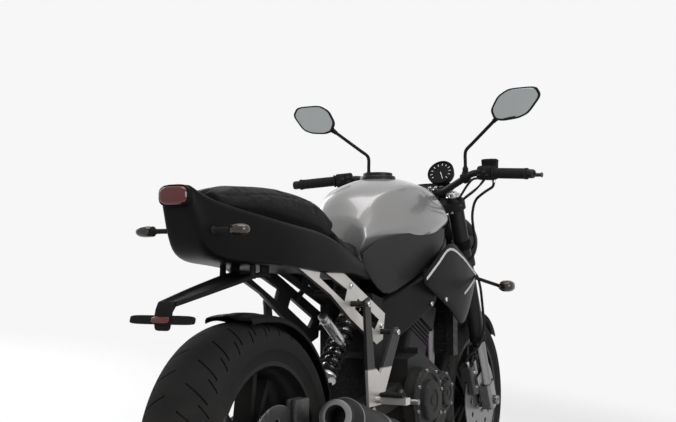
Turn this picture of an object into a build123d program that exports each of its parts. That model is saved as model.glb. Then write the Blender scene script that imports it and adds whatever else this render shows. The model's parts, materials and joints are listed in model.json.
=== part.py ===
from build123d import *
import os
from math import asin, atan, cos, degrees, radians, sin, tan

# A standard motorcycle with a parallel twin engine, leaning on its side stand.
# It is drawn upright, in millimetres: X points forward, Y to the rider's left and
# Z up, from the ground under the rear axle. PARK then leans it onto its stand.

# Steering geometry
WHEELBASE = 1455
RAKE = 25
TRAIL = 100
STEER_BASE = WHEELBASE + TRAIL
LEAN = 8
STEER_LIMIT = 33

# Wheels, as half widths and radii from the axle
REAR_TYRE_R = 315
REAR_TYRE_HALF = 90
REAR_CROWN_DROP = 45
REAR_RIM_HALF = 82
FRONT_TYRE_R = 300
FRONT_TYRE_HALF = 60
FRONT_CROWN_DROP = 33
FRONT_RIM_HALF = 54
BEAD_SEAT_R = 216
FLANGE_R = 227
WELL_R = 198
RIM_WALL = 6
CARCASS = 11
CROWN_FLATS = 2
SPOKES = 5
FIT = 0.3

# Axles
REAR_AXLE_R = 12.5
REAR_AXLE_BORE = 8
FRONT_AXLE_R = 10
FRONT_AXLE_BORE = 7
AXLE_NUT = 13

# Chain drive
PITCH = 15.875
REAR_TEETH = 45
FRONT_TEETH = 16
CHAIN_Y = 103
CHAIN_HALF = 8
CHAIN_PLATE = 3.5
CHAIN_REACH = 8
SPROCKET_THICK = 6
ROLLER_R = 5.1
OUTPUT_X = 655
OUTPUT_Z = 400

# Brakes
FRONT_DISC_R = 150
FRONT_DISC_Y = 70
REAR_DISC_R = 120
REAR_DISC_Y = 97
DISC_THICK = 5

# Frame and swingarm
PIVOT_X = 585
PIVOT_Z = 405
PIVOT_PIN_R = 12
PLATE_IN = 56
PLATE_OUT = 84
CROSS_GAP = 35
ARM_IN = 117
ARM_OUT = 147
HEAD_R = 34
HEAD_BACK = 465
NOSE_DROP = 25
STEM_R = 22
SUBFRAME_IN = 98
SUBFRAME_OUT = 110

# Fork, as distances along and ahead of the steering axis
FORK_HALF = 105
UPPER_TUBE_R = 27
LOWER_LEG_R = 21
TUBE_UP = 246
TUBE_PROUD = 17
LOWER_YOKE = 840
UPPER_YOKE = 1048
YOKE_THICK = 30
LEG_OVERLAP = 40
FOOT_IN = 82
FOOT_OUT = 128

# Handlebar and what it carries
BAR_R = 11
GRIP_R = 17
GRIP_LENGTH = 125
BAR_RISE = 43.5
MIRROR_RISE = 265

# Side stand
STAND_PIVOT = (600, 128, 262)
STAND_SHOE = (650, 262)
STAND_STOWED = (335, 150, 267)
STAND_PIN_R = 7
STAND_LEG_R = 10
STAND_EYE_R = 15
STAND_EYE_HALF = 8
SHOE_THICK = 7

# Fuel filler
CAP_X = 760
CAP_R = 45
CAP_THICK = 9
CAP_PIN_R = 2
CAP_HINGE = (CAP_X + CAP_R + 7, 1052)

rake = radians(RAKE)
AXLE_S = TRAIL * sin(rake) + FRONT_TYRE_R * cos(rake)
HEAD_LOW = LOWER_YOKE + YOKE_THICK + 5
HEAD_HIGH = UPPER_YOKE - 3
HEAD_X = STEER_BASE - HEAD_BACK
TUBE_LOW = AXLE_S + TUBE_UP
TUBE_HIGH = UPPER_YOKE + YOKE_THICK + TUBE_PROUD
FORK_OFFSET = FRONT_TYRE_R * sin(rake) - TRAIL * cos(rake)
REAR_PITCH_R = PITCH / (2 * sin(radians(180 / REAR_TEETH)))
FRONT_PITCH_R = PITCH / (2 * sin(radians(180 / FRONT_TEETH)))


def steer_plane(s):
    """Plane across the steering axis, at a distance s up it from the ground."""
    origin = (STEER_BASE - s * sin(rake), 0, s * cos(rake))
    return Plane(origin=origin, x_dir=(cos(rake), 0, sin(rake)), z_dir=(-sin(rake), 0, cos(rake)))


def side_plane(y):
    """Plane seen from the right side, at a distance y to the left of the middle."""
    return Plane(origin=(0, y, 0), x_dir=(1, 0, 0), z_dir=(0, -1, 0))


def wheel_plane(x, y, z):
    return Plane(origin=(x, y, z), x_dir=(1, 0, 0), z_dir=(0, -1, 0))


def plate(points, y_left, y_right, mode=Mode.ADD):
    """Flat plate with a side outline, between two distances from the middle."""
    with BuildSketch(side_plane(y_left)) as outline:
        Polygon(*points)
    extrude(outline.sketch, amount=y_left - y_right, mode=mode)


def disc(x, z, radius, y_left, y_right, mode=Mode.ADD):
    """Round plate or bore across the machine."""
    with BuildSketch(wheel_plane(x, y_left, z)) as outline:
        Circle(radius)
    extrude(outline.sketch, amount=y_left - y_right, mode=mode)


def block(low, high, mode=Mode.ADD):
    """Box between two corners."""
    size = [b - a for a, b in zip(low, high)]
    middle = tuple((a + b) / 2 for a, b in zip(low, high))
    with Locations(middle):
        Box(*size, mode=mode)


def rod(start, end, radius, mode=Mode.ADD):
    """Straight round bar between two points."""
    with BuildSketch(Plane(origin=start, z_dir=Vector(end) - Vector(start))) as face:
        Circle(radius)
    extrude(face.sketch, amount=(Vector(end) - Vector(start)).length, mode=mode)


def tube(points, radius, bend, mode=Mode.ADD):
    """Round tube along straight runs joined by arcs."""
    with BuildLine() as route:
        FilletPolyline(*points, radius=bend)
    with BuildSketch(Plane(origin=route.line @ 0, z_dir=route.line % 0)) as face:
        Circle(radius)
    sweep(face.sketch, path=route.line, mode=mode)


def turned(points, x, z, mode=Mode.ADD):
    """Turns a closed outline of (sideways, outward) points about a wheel's axis."""
    with BuildSketch(Plane(origin=(x, 0, z), x_dir=(0, 1, 0), z_dir=(1, 0, 0))) as section:
        Polygon(*points)
    revolve(section.sketch, axis=Axis((x, 0, z), (0, 1, 0)), mode=mode)


def skinned(stations, outline, ruled=True, mode=Mode.ADD):
    """Lofts the outlines of a table whose first column is the distance forward."""
    sections = []
    for x, *row in stations:
        with BuildSketch(Plane.YZ.offset(x)) as section:
            Polygon(*outline(*row))
        sections.append(section.sketch)
    loft(sections, ruled=ruled, mode=mode)


def both_sides(points):
    """Closes a half outline of (sideways, up) points with its mirror image."""
    return list(points) + [(-y, z) for y, z in reversed(points) if y > 0]


def along_fork(s, x, y):
    """Point at a distance s up the steering axis, x ahead of it and y to the left."""
    return steer_plane(s).from_local_coords((x, y, 0))


# Wheels

def crown(half, radius, drop):
    """Points of a tyre's round crown, in a few flats, from its right shoulder to its left."""
    round_r = (half ** 2 + drop ** 2) / (2 * drop)
    reach = asin(half / round_r)
    turns = [reach * (1 - step / CROWN_FLATS) for step in range(2 * CROWN_FLATS + 1)]
    return [(round_r * sin(turn), radius - round_r * (1 - cos(turn))) for turn in turns]


def tyre_outline(half, radius, drop, rim_half):
    """Hollow carcass with a round crown, open at the beads."""
    bead_out = rim_half - 9
    bead_in = rim_half - 21
    seat = BEAD_SEAT_R + FIT
    return crown(half, radius, drop) + [(-bead_out, seat), (-bead_in, seat), (0, radius - CARCASS),
                                        (bead_in, seat), (bead_out, seat)]


def rim_outline(half):
    """Barrel with two flanges, two bead seats and a drop well."""
    well = 0.45 * half
    right = [(well, WELL_R), (half - 22, BEAD_SEAT_R), (half - 7, BEAD_SEAT_R), (half - 5, FLANGE_R),
             (half, FLANGE_R), (half, BEAD_SEAT_R - RIM_WALL), (half - 22, BEAD_SEAT_R - RIM_WALL),
             (well, WELL_R - RIM_WALL)]
    return right + [(-u, v) for u, v in reversed(right)]


def spokes(x, z, half, hub_r):
    """Pairs of spokes that spread towards the rim."""
    with BuildSketch(wheel_plane(x, half, z)) as pattern:
        with PolarLocations(0, SPOKES):
            for side in (-1, 1):
                tip = WELL_R - RIM_WALL / 2
                Polygon((hub_r - 4, side * 2), (tip, side * 26), (tip, side * 42), (hub_r - 4, side * 17))
    extrude(pattern.sketch, amount=2 * half)


with BuildPart() as rear_tyre:
    turned(tyre_outline(REAR_TYRE_HALF, REAR_TYRE_R, REAR_CROWN_DROP, REAR_RIM_HALF), 0, REAR_TYRE_R)

with BuildPart() as front_tyre:
    turned(tyre_outline(FRONT_TYRE_HALF, FRONT_TYRE_R, FRONT_CROWN_DROP, FRONT_RIM_HALF), WHEELBASE,
           FRONT_TYRE_R)

REAR_HUB_HALF = 84
SPROCKET_Y = CHAIN_Y - SPROCKET_THICK / 2
REAR_FLANGE_R = 60
COLLAR_R = 18
with BuildPart() as rear_rim:
    turned(rim_outline(REAR_RIM_HALF), 0, REAR_TYRE_R)
    turned([(-REAR_DISC_Y, COLLAR_R + 2), (-REAR_DISC_Y, REAR_FLANGE_R), (-REAR_DISC_Y + 12, REAR_FLANGE_R),
            (-60, 40), (50, 40), (62, REAR_FLANGE_R), (SPROCKET_Y, REAR_FLANGE_R), (SPROCKET_Y, COLLAR_R + 2),
            (REAR_HUB_HALF, COLLAR_R + 2), (REAR_HUB_HALF, REAR_AXLE_R + FIT),
            (-REAR_HUB_HALF, REAR_AXLE_R + FIT), (-REAR_HUB_HALF, COLLAR_R + 2)], 0, REAR_TYRE_R)
    spokes(0, REAR_TYRE_R, 24, 40)

FRONT_HUB_HALF = 66
FRONT_FLANGE_R = 58
FRONT_COLLAR_R = 16
with BuildPart() as front_rim:
    turned(rim_outline(FRONT_RIM_HALF), WHEELBASE, FRONT_TYRE_R)
    right = [(30, 32), (FRONT_DISC_Y - 10, FRONT_FLANGE_R), (FRONT_DISC_Y, FRONT_FLANGE_R),
             (FRONT_DISC_Y, FRONT_COLLAR_R + 2), (FRONT_HUB_HALF, FRONT_COLLAR_R + 2),
             (FRONT_HUB_HALF, FRONT_AXLE_R + FIT)]
    turned(right + [(-u, v) for u, v in reversed(right)], WHEELBASE, FRONT_TYRE_R)
    spokes(WHEELBASE, FRONT_TYRE_R, 20, 32)


def brake_disc(x, z, radius, hole, y_left, y_right, windows):
    """Drilled disc on a windowed carrier."""
    with BuildSketch(wheel_plane(x, y_left, z)) as outline:
        Circle(radius)
        Circle(hole, mode=Mode.SUBTRACT)
        with PolarLocations(0.5 * (radius + REAR_FLANGE_R) - 12, windows):
            Circle(9, mode=Mode.SUBTRACT)
    extrude(outline.sketch, amount=y_left - y_right)


with BuildPart() as front_discs:
    brake_disc(WHEELBASE, FRONT_TYRE_R, FRONT_DISC_R, 30, FRONT_DISC_Y + DISC_THICK, FRONT_DISC_Y, 12)
    mirror(about=Plane.XZ)

with BuildPart() as rear_disc:
    brake_disc(0, REAR_TYRE_R, REAR_DISC_R, 30, -REAR_DISC_Y, -REAR_DISC_Y - DISC_THICK, 12)

with BuildPart() as rear_sprocket:
    with BuildSketch(wheel_plane(0, SPROCKET_Y + SPROCKET_THICK, REAR_TYRE_R)):
        Circle(REAR_PITCH_R)
        Circle(32, mode=Mode.SUBTRACT)
        with PolarLocations(REAR_PITCH_R, REAR_TEETH):
            Circle(ROLLER_R, mode=Mode.SUBTRACT)
        with PolarLocations(80, 6):
            Circle(13, mode=Mode.SUBTRACT)
    extrude(amount=SPROCKET_THICK)

with BuildPart() as rear_axle:
    disc(0, REAR_TYRE_R, REAR_AXLE_R, ARM_OUT + AXLE_NUT, -ARM_OUT - AXLE_NUT)
    for side in (-1, 1):
        collar = sorted((side * (REAR_HUB_HALF + FIT), side * (ARM_IN - FIT)))
        disc(0, REAR_TYRE_R, COLLAR_R, collar[1], collar[0])
        nut = sorted((side * (ARM_OUT + FIT), side * (ARM_OUT + AXLE_NUT)))
        with BuildSketch(wheel_plane(0, nut[1], REAR_TYRE_R)) as hexagon:
            RegularPolygon(20, 6)
        extrude(hexagon.sketch, amount=nut[1] - nut[0])
    disc(0, REAR_TYRE_R, REAR_AXLE_BORE, ARM_OUT + 2 * AXLE_NUT, -ARM_OUT - 2 * AXLE_NUT, mode=Mode.SUBTRACT)

with BuildPart() as front_axle:
    disc(WHEELBASE, FRONT_TYRE_R, FRONT_AXLE_R, FOOT_OUT + AXLE_NUT, -FOOT_OUT - AXLE_NUT)
    for side in (-1, 1):
        collar = sorted((side * (FRONT_HUB_HALF + FIT), side * (FOOT_IN - FIT)))
        disc(WHEELBASE, FRONT_TYRE_R, FRONT_COLLAR_R, collar[1], collar[0])
        nut = sorted((side * (FOOT_OUT + FIT), side * (FOOT_OUT + AXLE_NUT)))
        disc(WHEELBASE, FRONT_TYRE_R, 16, nut[1], nut[0])
    disc(WHEELBASE, FRONT_TYRE_R, FRONT_AXLE_BORE, FOOT_OUT + 2 * AXLE_NUT, -FOOT_OUT - 2 * AXLE_NUT,
         mode=Mode.SUBTRACT)


def belt(rear_r, front_r, y_left, y_right, mode=Mode.ADD):
    """Plate whose outline runs round both sprockets."""
    with BuildSketch(side_plane(y_left)) as outline:
        with Locations((0, REAR_TYRE_R)):
            Circle(rear_r)
        with Locations((OUTPUT_X, OUTPUT_Z)):
            Circle(front_r)
        make_hull()
    extrude(outline.sketch, amount=y_left - y_right, mode=mode)


with BuildPart() as drive_chain:
    belt(REAR_PITCH_R + CHAIN_REACH, FRONT_PITCH_R + CHAIN_REACH, CHAIN_Y + CHAIN_HALF, CHAIN_Y - CHAIN_HALF)
    belt(REAR_PITCH_R - CHAIN_REACH, FRONT_PITCH_R - CHAIN_REACH, CHAIN_Y + CHAIN_HALF, CHAIN_Y - CHAIN_HALF,
         mode=Mode.SUBTRACT)
    belt(REAR_PITCH_R + 1.2, FRONT_PITCH_R + FIT, CHAIN_Y + CHAIN_HALF - CHAIN_PLATE,
         CHAIN_Y - CHAIN_HALF + CHAIN_PLATE, mode=Mode.SUBTRACT)

# Main frame

# x, sideways middle, height of the middle, depth and thickness
SPAR_STATIONS = [
    (HEAD_X, 50, 862, 138, 40),
    (HEAD_X - 110, 118, 800, 120, 36),
    (800, 152, 700, 105, 34),
    (610, 70, 590, 150, 28),
]
STAND_AXIS = (Vector(STAND_SHOE[0], STAND_SHOE[1], 37) - Vector(STAND_PIVOT)).cross(
    Vector(STAND_STOWED) - Vector(STAND_PIVOT)).normalized()
TANK_POST_X = 570
TANK_POST_HIGH = 729.7
FRONT_POST_X = HEAD_X - 105
FRONT_POST_HIGH = 888.4
SHOCK_TOP = (600, 655)
SHOCK_FOOT = (396, 436)
SHOCK_PIN_R = 9
with BuildPart() as main_frame:
    with BuildSketch(steer_plane(HEAD_LOW)):
        Circle(HEAD_R)
    extrude(amount=HEAD_HIGH - HEAD_LOW)
    block((HEAD_X - 14, -58, 803), (HEAD_X + 46, 58, HEAD_HIGH * cos(rake) - NOSE_DROP))
    for side in (-1, 1):
        for x, middle, height, depth, thickness in SPAR_STATIONS:
            with BuildSketch(Plane.YZ.offset(x)):
                with Locations((side * middle, height)):
                    RectangleRounded(thickness, depth, 9)
        loft(ruled=True)
    plate([(545, 690), (640, 668), (640, 430), (628, 345), (560, 345), (545, 380)], PLATE_OUT, PLATE_IN)
    plate([(545, 690), (640, 668), (640, 430), (628, 345), (560, 345), (545, 380)], -PLATE_IN, -PLATE_OUT)
    rod((SHOCK_TOP[0], -PLATE_IN - 4, SHOCK_TOP[1]), (SHOCK_TOP[0], PLATE_IN + 4, SHOCK_TOP[1]), SHOCK_PIN_R)
    block((552, -PLATE_IN - 2, 675), (590, PLATE_IN + 2, 690))
    block((TANK_POST_X, -20, 684), (TANK_POST_X + 26, 20, TANK_POST_HIGH))
    block((FRONT_POST_X, -110, 812), (FRONT_POST_X + 30, 110, 842))
    block((FRONT_POST_X, -30, 840), (FRONT_POST_X + 30, 30, FRONT_POST_HIGH))
    disc(PIVOT_X, PIVOT_Z, PIVOT_PIN_R + FIT, 200, -200, mode=Mode.SUBTRACT)
    plate([(568, 350), (632, 350), (625, 212), (575, 212)], PLATE_OUT, PLATE_OUT - 24)
    rod(Vector(STAND_PIVOT) - STAND_AXIS * 62, Vector(STAND_PIVOT) - STAND_AXIS * (STAND_EYE_HALF + 1),
        STAND_EYE_R)
    rod(Vector(STAND_PIVOT) - STAND_AXIS * 40, Vector(STAND_PIVOT) + STAND_AXIS * (STAND_EYE_HALF + 5),
        STAND_PIN_R)
    rod(Vector(STAND_PIVOT) + STAND_AXIS * (STAND_EYE_HALF + 1),
        Vector(STAND_PIVOT) + STAND_AXIS * (STAND_EYE_HALF + 6), STAND_EYE_R - 3)
    rod(along_fork(HEAD_LOW - 60, 0, 0), along_fork(HEAD_HIGH + 60, 0, 0), STEM_R + 0.4, mode=Mode.SUBTRACT)

# Swingarm, with its eyes on the pivot pin
ARM_HALF = 33
CROSS_X = REAR_TYRE_R + CROSS_GAP
SPOOL_X = 130
SPOOL_Z = REAR_TYRE_R + 10
SPOOL_R = 4
SPOOL_DEEP = 20
with BuildPart() as swingarm:
    half_way = (PIVOT_Z + REAR_TYRE_R) / 2
    arm = [(PIVOT_X, PIVOT_Z + ARM_HALF), (300, half_way + 38), (60, REAR_TYRE_R + 30), (-62, REAR_TYRE_R + 23),
           (-70, REAR_TYRE_R), (-62, REAR_TYRE_R - 23), (60, REAR_TYRE_R - 25), (300, half_way - 30),
           (PIVOT_X, PIVOT_Z - ARM_HALF)]
    for low, high in ((ARM_IN, ARM_OUT), (-ARM_OUT, -ARM_IN)):
        plate(arm, high, low)
        disc(PIVOT_X, PIVOT_Z, ARM_HALF, high, low)
    for low, high in ((PLATE_OUT + FIT, ARM_IN), (-ARM_IN, -PLATE_OUT - FIT)):
        disc(PIVOT_X, PIVOT_Z, PIVOT_PIN_R + 8, high, low)
    block((CROSS_X, -ARM_IN - 2, 345), (SHOCK_FOOT[0] + 6, ARM_IN + 2, 405))
    for low, high in ((18, 27), (-27, -18)):
        plate([(372, 400), (420, 400), (410, 448), (382, 448)], high, low)
    disc(PIVOT_X, PIVOT_Z, PIVOT_PIN_R + FIT, 200, -200, mode=Mode.SUBTRACT)
    disc(0, REAR_TYRE_R, REAR_AXLE_R + FIT, 200, -200, mode=Mode.SUBTRACT)
    disc(SHOCK_FOOT[0], SHOCK_FOOT[1], SHOCK_PIN_R + FIT, 60, -60, mode=Mode.SUBTRACT)
    for y in (ARM_OUT, -ARM_OUT):
        inward = -1 if y > 0 else 1
        rod((SPOOL_X, y, SPOOL_Z), (SPOOL_X, y + inward * SPOOL_DEEP, SPOOL_Z), SPOOL_R, mode=Mode.SUBTRACT)

with BuildPart() as pivot_pin:
    disc(PIVOT_X, PIVOT_Z, PIVOT_PIN_R, ARM_OUT + 4, -ARM_OUT - 4)
    for low, high in ((ARM_OUT + FIT, ARM_OUT + 9), (-ARM_OUT - 9, -ARM_OUT - FIT)):
        disc(PIVOT_X, PIVOT_Z, 20, high, low)

with BuildPart() as shock_absorber:
    foot = Vector(SHOCK_FOOT[0], 0, SHOCK_FOOT[1])
    top = Vector(SHOCK_TOP[0], 0, SHOCK_TOP[1])
    way = (top - foot).normalized()
    rod(foot + way * 12, top - way * 12, 12)
    rod(foot + way * 30, foot + way * 38, 34)
    rod(top - way * 62, top - way * 18, 30)
    for coil in range(8):
        centre = foot + way * (52 + 23 * coil)
        with BuildSketch(Plane(origin=centre, z_dir=way)) as ring:
            Circle(33)
        extrude(ring.sketch, amount=12)
    rod(foot + way * 32, top - way * 40, 25)
    disc(SHOCK_FOOT[0], SHOCK_FOOT[1], 17, 17, -17)
    disc(SHOCK_TOP[0], SHOCK_TOP[1], 19, 20, -20)
    disc(SHOCK_TOP[0], SHOCK_TOP[1], SHOCK_PIN_R + FIT, 30, -30, mode=Mode.SUBTRACT)
    disc(SHOCK_FOOT[0], SHOCK_FOOT[1], SHOCK_PIN_R + FIT, 30, -30, mode=Mode.SUBTRACT)
    disc(SHOCK_FOOT[0], SHOCK_FOOT[1], SHOCK_PIN_R, 30, -30)

# Subframe, whose side castings show below the tail
with BuildPart() as subframe:
    plate([(575, 632), (330, 742), (95, 800), (72, 762), (250, 690), (360, 625), (520, 548), (560, 560)],
          SUBFRAME_OUT, SUBFRAME_IN)
    for window in ([(536, 616), (402, 678), (386, 650), (508, 588)],
                   [(342, 702), (196, 756), (188, 734), (326, 670)]):
        plate(window, SUBFRAME_OUT + 5, SUBFRAME_IN - 5, mode=Mode.SUBTRACT)
    for x, z in ((560, 588), (556, 618)):
        rod((x, PLATE_OUT + FIT, z), (x, SUBFRAME_IN + 2, z), 9)
    tube([(540, 70, 662), (60, 70, 845), (-120, 55, 870)], 12, 120)
    rod((430, 72, 702), (430, SUBFRAME_IN + 2, 670), 8)
    rod((250, 72, 772), (250, SUBFRAME_IN + 2, 750), 8)
    rod((110, 72, 825), (110, SUBFRAME_IN + 2, 785), 8)
    mirror(about=Plane.XZ)
    for x, z in ((470, 688), (250, 772), (20, 850)):
        rod((x, -72, z), (x, 72, z), 10)
    for x, y_half, low, high in ((400, 14, 712, 773.7), (60, 18, 848, 867.4)):
        for side in (-1, 1):
            block((x - 14, side * 62 - y_half, low), (x + 14, side * 62 + y_half, high))

# Engine

CRANK_HALF = 150
BLOCK_X = 790
BLOCK_Z = 495
BLOCK_TILT = 25
BLOCK_HALF = 122
BLOCK_HIGH = 190
BLOCK_DEEP = 170
COVER_HIGH = 30


def block_plane(height):
    """Plane across the inclined cylinders, at a height above the crankcase joint."""
    tilt = radians(BLOCK_TILT)
    origin = (BLOCK_X + height * sin(tilt), 0, BLOCK_Z + height * cos(tilt))
    return Plane(origin=origin, x_dir=(cos(tilt), 0, -sin(tilt)), z_dir=(sin(tilt), 0, cos(tilt)))


with BuildPart() as crankcase:
    plate([(716, 515), (716, 278), (760, 262), (905, 262), (946, 325), (946, 445), (902, 484), (860, 462),
           (716, 529)], CRANK_HALF, -CRANK_HALF)
    plate([(642, 500), (642, 310), (690, 272), (718, 272), (718, 512)], 84, -CRANK_HALF)
    plate([(552, 372), (552, 450), (590, 500), (650, 500), (650, 340), (580, 340)], PLATE_IN - FIT,
          -PLATE_IN + FIT)
    disc(OUTPUT_X, OUTPUT_Z, 14, CHAIN_Y + 5, 80)
    disc(OUTPUT_X, OUTPUT_Z, FRONT_PITCH_R, CHAIN_Y + SPROCKET_THICK / 2, CHAIN_Y - SPROCKET_THICK / 2)
    disc(PIVOT_X, PIVOT_Z, PIVOT_PIN_R + FIT, 200, -200, mode=Mode.SUBTRACT)
    with BuildSketch(block_plane(0)) as top_joint:
        Rectangle(2 * BLOCK_DEEP, 2 * CRANK_HALF + 20)
    extrude(top_joint.sketch, amount=200, mode=Mode.SUBTRACT)

with BuildPart() as cylinder_block:
    # height above the joint, depth, half width
    for low, high, deep, half in ((0.1, 60, 150, 112), (60, 118, 140, 108), (118, BLOCK_HIGH, BLOCK_DEEP, 118),
                                  (BLOCK_HIGH, BLOCK_HIGH + COVER_HIGH, 130, 112)):
        with BuildSketch(block_plane(low)):
            RectangleRounded(deep, 2 * half, 14)
        extrude(amount=high - low)
    for layer in range(4):
        with BuildSketch(block_plane(64 + 13 * layer)):
            RectangleRounded(152, 2 * 113, 14)
        extrude(amount=5)
    for side in (-1, 1):
        with BuildSketch(block_plane(150)) as plug_tower:
            with Locations((0, side * 55)):
                Circle(20)
        extrude(plug_tower.sketch, amount=78)

with BuildPart() as engine_covers:
    # x, z, radius, side, inner face, outer face
    for x, z, radius, side, inner, outer in ((700, 380, 95, -1, CRANK_HALF, 190),
                                             (862, 385, 62, -1, CRANK_HALF, 172),
                                             (858, 380, 80, 1, CRANK_HALF, 186)):
        with BuildSketch(wheel_plane(x, side * inner, z)) as foot_face:
            Circle(radius)
        extrude(foot_face.sketch, amount=-side * (outer - inner), taper=6)
        with BuildSketch(wheel_plane(x, side * (outer - 2), z)) as boss:
            Circle(radius * 0.62)
        extrude(boss.sketch, amount=-side * 14, taper=10)
    plate([(624, 470), (690, 470), (715.8, 440), (715.8, 350), (690, 332), (636, 332), (624, 350)], 134, 115)

# x, y, z of the exhaust's bends on the right; the left header mirrors the first five
HEADER = [(938, -70, 603), (988, -70, 580), (998, -64, 468), (986, -56, 332), (932, -42, 240), (862, -26, 226)]
MUFFLER_FRONT = (440, -194, 300)
MUFFLER_REAR = (70, -228, 405)
MUFFLER_R = 52
with BuildPart() as exhaust_headers:
    for side in (-1, 1):
        tube([(x, side * -y, z) for x, y, z in HEADER], 20, [38, 60, 60, 45])
        rod((935, side * 70, 604.4), (945, side * 70, 599.7), 30)
    rod((880, 0, 226), (790, 0, 226), 34)
    block((640, -75, 196), (800, 35, 248))
    muffler_way = (Vector(MUFFLER_REAR) - Vector(MUFFLER_FRONT)).normalized()
    tube([(650, -20, 224), (592, -95, 236), Vector(MUFFLER_FRONT) - muffler_way * 110,
          Vector(MUFFLER_FRONT) - muffler_way * 6.2], 26, [60, 60])

with BuildPart() as muffler:
    front = Vector(MUFFLER_FRONT)
    rear = Vector(MUFFLER_REAR)
    back = (rear - front).normalized()
    rod(front - back * 6, rear, MUFFLER_R)
    rod(rear - back * 2, rear + back * 26, MUFFLER_R - 12)
    rod(rear + back * 40, rear - back * 90, 24, mode=Mode.SUBTRACT)
    plate([(386, 391.8), (420, 391.8), (420, 325), (386, 325)], -150, -158)

RADIATOR_X = HEAD_X - 60
RADIATOR_HALF = 140
with BuildPart() as radiator:
    block((RADIATOR_X, -RADIATOR_HALF + 22, 492), (RADIATOR_X + 28, RADIATOR_HALF - 22, 752))
    for side in (-1, 1):
        low, high = sorted((side * (RADIATOR_HALF - 26), side * RADIATOR_HALF))
        block((RADIATOR_X - 4, low, 485), (RADIATOR_X + 34, high, 758))
    for layer in range(12):
        block((RADIATOR_X - 2, -RADIATOR_HALF + 20, 500 + 21 * layer),
              (RADIATOR_X + 31, RADIATOR_HALF - 20, 504 + 21 * layer))
    for side in (-1, 1):
        rod((RADIATOR_X + 14, side * 80, 748), (RADIATOR_X + 14, side * 80, 767), 8)

# Body panels

# x, half width and height of the floor, then of the crease, then of the shoulder, height of the crown
TANK_STATIONS = [
    (505, 60, 792, 84, 850, 62, 894, 912),
    (560, 84, 730, 104, 868, 82, 962, 984),
    (700, 100, 742, 148, 890, 112, 1008, 1034),
    (850, 104, 806, 166, 905, 118, 1014, 1044),
    (HEAD_X - 120, 80, 880, 148, 925, 98, 1002, 1030),
    (HEAD_X - 60, 45, 915, 92, 940, 60, 985, 1000),
]


def tank_outline(floor, floor_z, crease, crease_z, shoulder, shoulder_z, crown_z):
    step = crease_z - 18
    return both_sides([(floor, floor_z), (floor, step), (crease, step), (crease, crease_z),
                       (shoulder, shoulder_z), (shoulder * 0.45, crown_z)])


with BuildPart() as fuel_tank:
    skinned(TANK_STATIONS, tank_outline, ruled=True)
    rod((CAP_X, 0, 1010), (CAP_X, 0, 1045), CAP_R + 9)
    rod((CAP_X, 0, 1042), (CAP_X, 0, 1060), CAP_R - 13, mode=Mode.SUBTRACT)
    for low, high in ((9, 15), (-15, -9)):
        plate([(807.5, 1030), (822, 1030), (817, 1052), (807.5, 1052)], high, low)
        disc(CAP_HINGE[0], CAP_HINGE[1], 5, high, low)
    rod((CAP_HINGE[0], -15, CAP_HINGE[1]), (CAP_HINGE[0], 15, CAP_HINGE[1]), CAP_PIN_R)

PANEL = 5


def panel_outline(y_top, z_top, y_low, z_low):
    return [(y_top, z_top), (y_low, z_low), (y_low - PANEL, z_low), (y_top - PANEL, z_top)]


# x, then distance from the middle and height of the upper edge and of the lower edge
SIDE_COVER_STATIONS = [
    (455, 100, 800, 98, 770),
    (560, 116, 846, 114, 690),
    (690, 138, 866, 130, 720),
    (830, 150, 880, 144, 776),
    (940, 146, 890, 142, 842),
]
SHROUD_STATIONS = [
    (700, 178, 742, 178, 718),
    (885, 186, 838, 184, 640),
    (HEAD_X - 105, 186, 815, 184, 590),
    (HEAD_X - 28, 182, 785, 180, 628),
    (HEAD_X + 76, 168, 752, 168, 736),
]
with BuildPart() as side_covers:
    skinned(SIDE_COVER_STATIONS, panel_outline)
    rod((700, 100.6, 800), (700, 131, 800), 8)
    rod((850, 106, 818), (850, 143, 824), 8)
    mirror(about=Plane.XZ)

with BuildPart() as radiator_shrouds:
    skinned(SHROUD_STATIONS, panel_outline)
    rod((RADIATOR_X + 14, RADIATOR_HALF + 0.1, 700), (RADIATOR_X + 14, 178, 700), 8)
    rod((RADIATOR_X + 14, RADIATOR_HALF + 0.1, 640), (RADIATOR_X + 14, 178, 640), 8)
    mirror(about=Plane.XZ)

# x, half width and height of the base, half width and height of the edge, height of the crest
RIDER_SEAT_STATIONS = [
    (296, 92, 795, 108, 848, 884),
    (350, 96, 780, 112, 828, 846),
    (420, 88, 774, 98, 812, 828),
    (504.6, 50, 786, 62, 820, 836),
]
PILLION_STATIONS = [
    (-176, 50, 886, 60, 918, 938),
    (-60, 62, 880, 84, 928, 948),
    (60, 78, 870, 98, 934, 952),
    (200, 88, 850, 106, 918, 942),
    (292, 92, 838, 104, 880, 896),
]


def cushion_outline(base, base_z, edge, edge_z, crest_z):
    return both_sides([(base, base_z), (edge, edge_z), (edge * 0.62, crest_z)])


with BuildPart() as rider_seat:
    skinned(RIDER_SEAT_STATIONS, cushion_outline)

with BuildPart() as pillion_seat:
    skinned(PILLION_STATIONS, cushion_outline)

TAIL_STATIONS = [
    (-264, 42, 930, 34, 874),
    (-190, 64, 898, 60, 776),
    (20, 112, 868, 114, 758),
    (200, 122, 846, 126, 744),
    (330, 124, 806, 126, 742),
    (450, 112, 776, 114, 726),
]
with BuildPart() as tail_cowl:
    skinned(TAIL_STATIONS, panel_outline)
    mirror(about=Plane.XZ)
    skinned([(-268, 24, 892, 42, 904, 938), (-230, 46, 880, 56, 906, 942), (-182, 58, 874, 66, 890, 940)],
            cushion_outline)
    for x, half in ((-150, 74), (8, 110)):
        block((x, -half, 850 if x < 0 else 866), (x + 24, half, 860 if x < 0 else 871.5))

with BuildPart() as tail_light:
    skinned([(-284, 22, 896, 34, 904, 924), (-268.3, 26, 892, 40, 904, 930)], cushion_outline)

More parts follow.
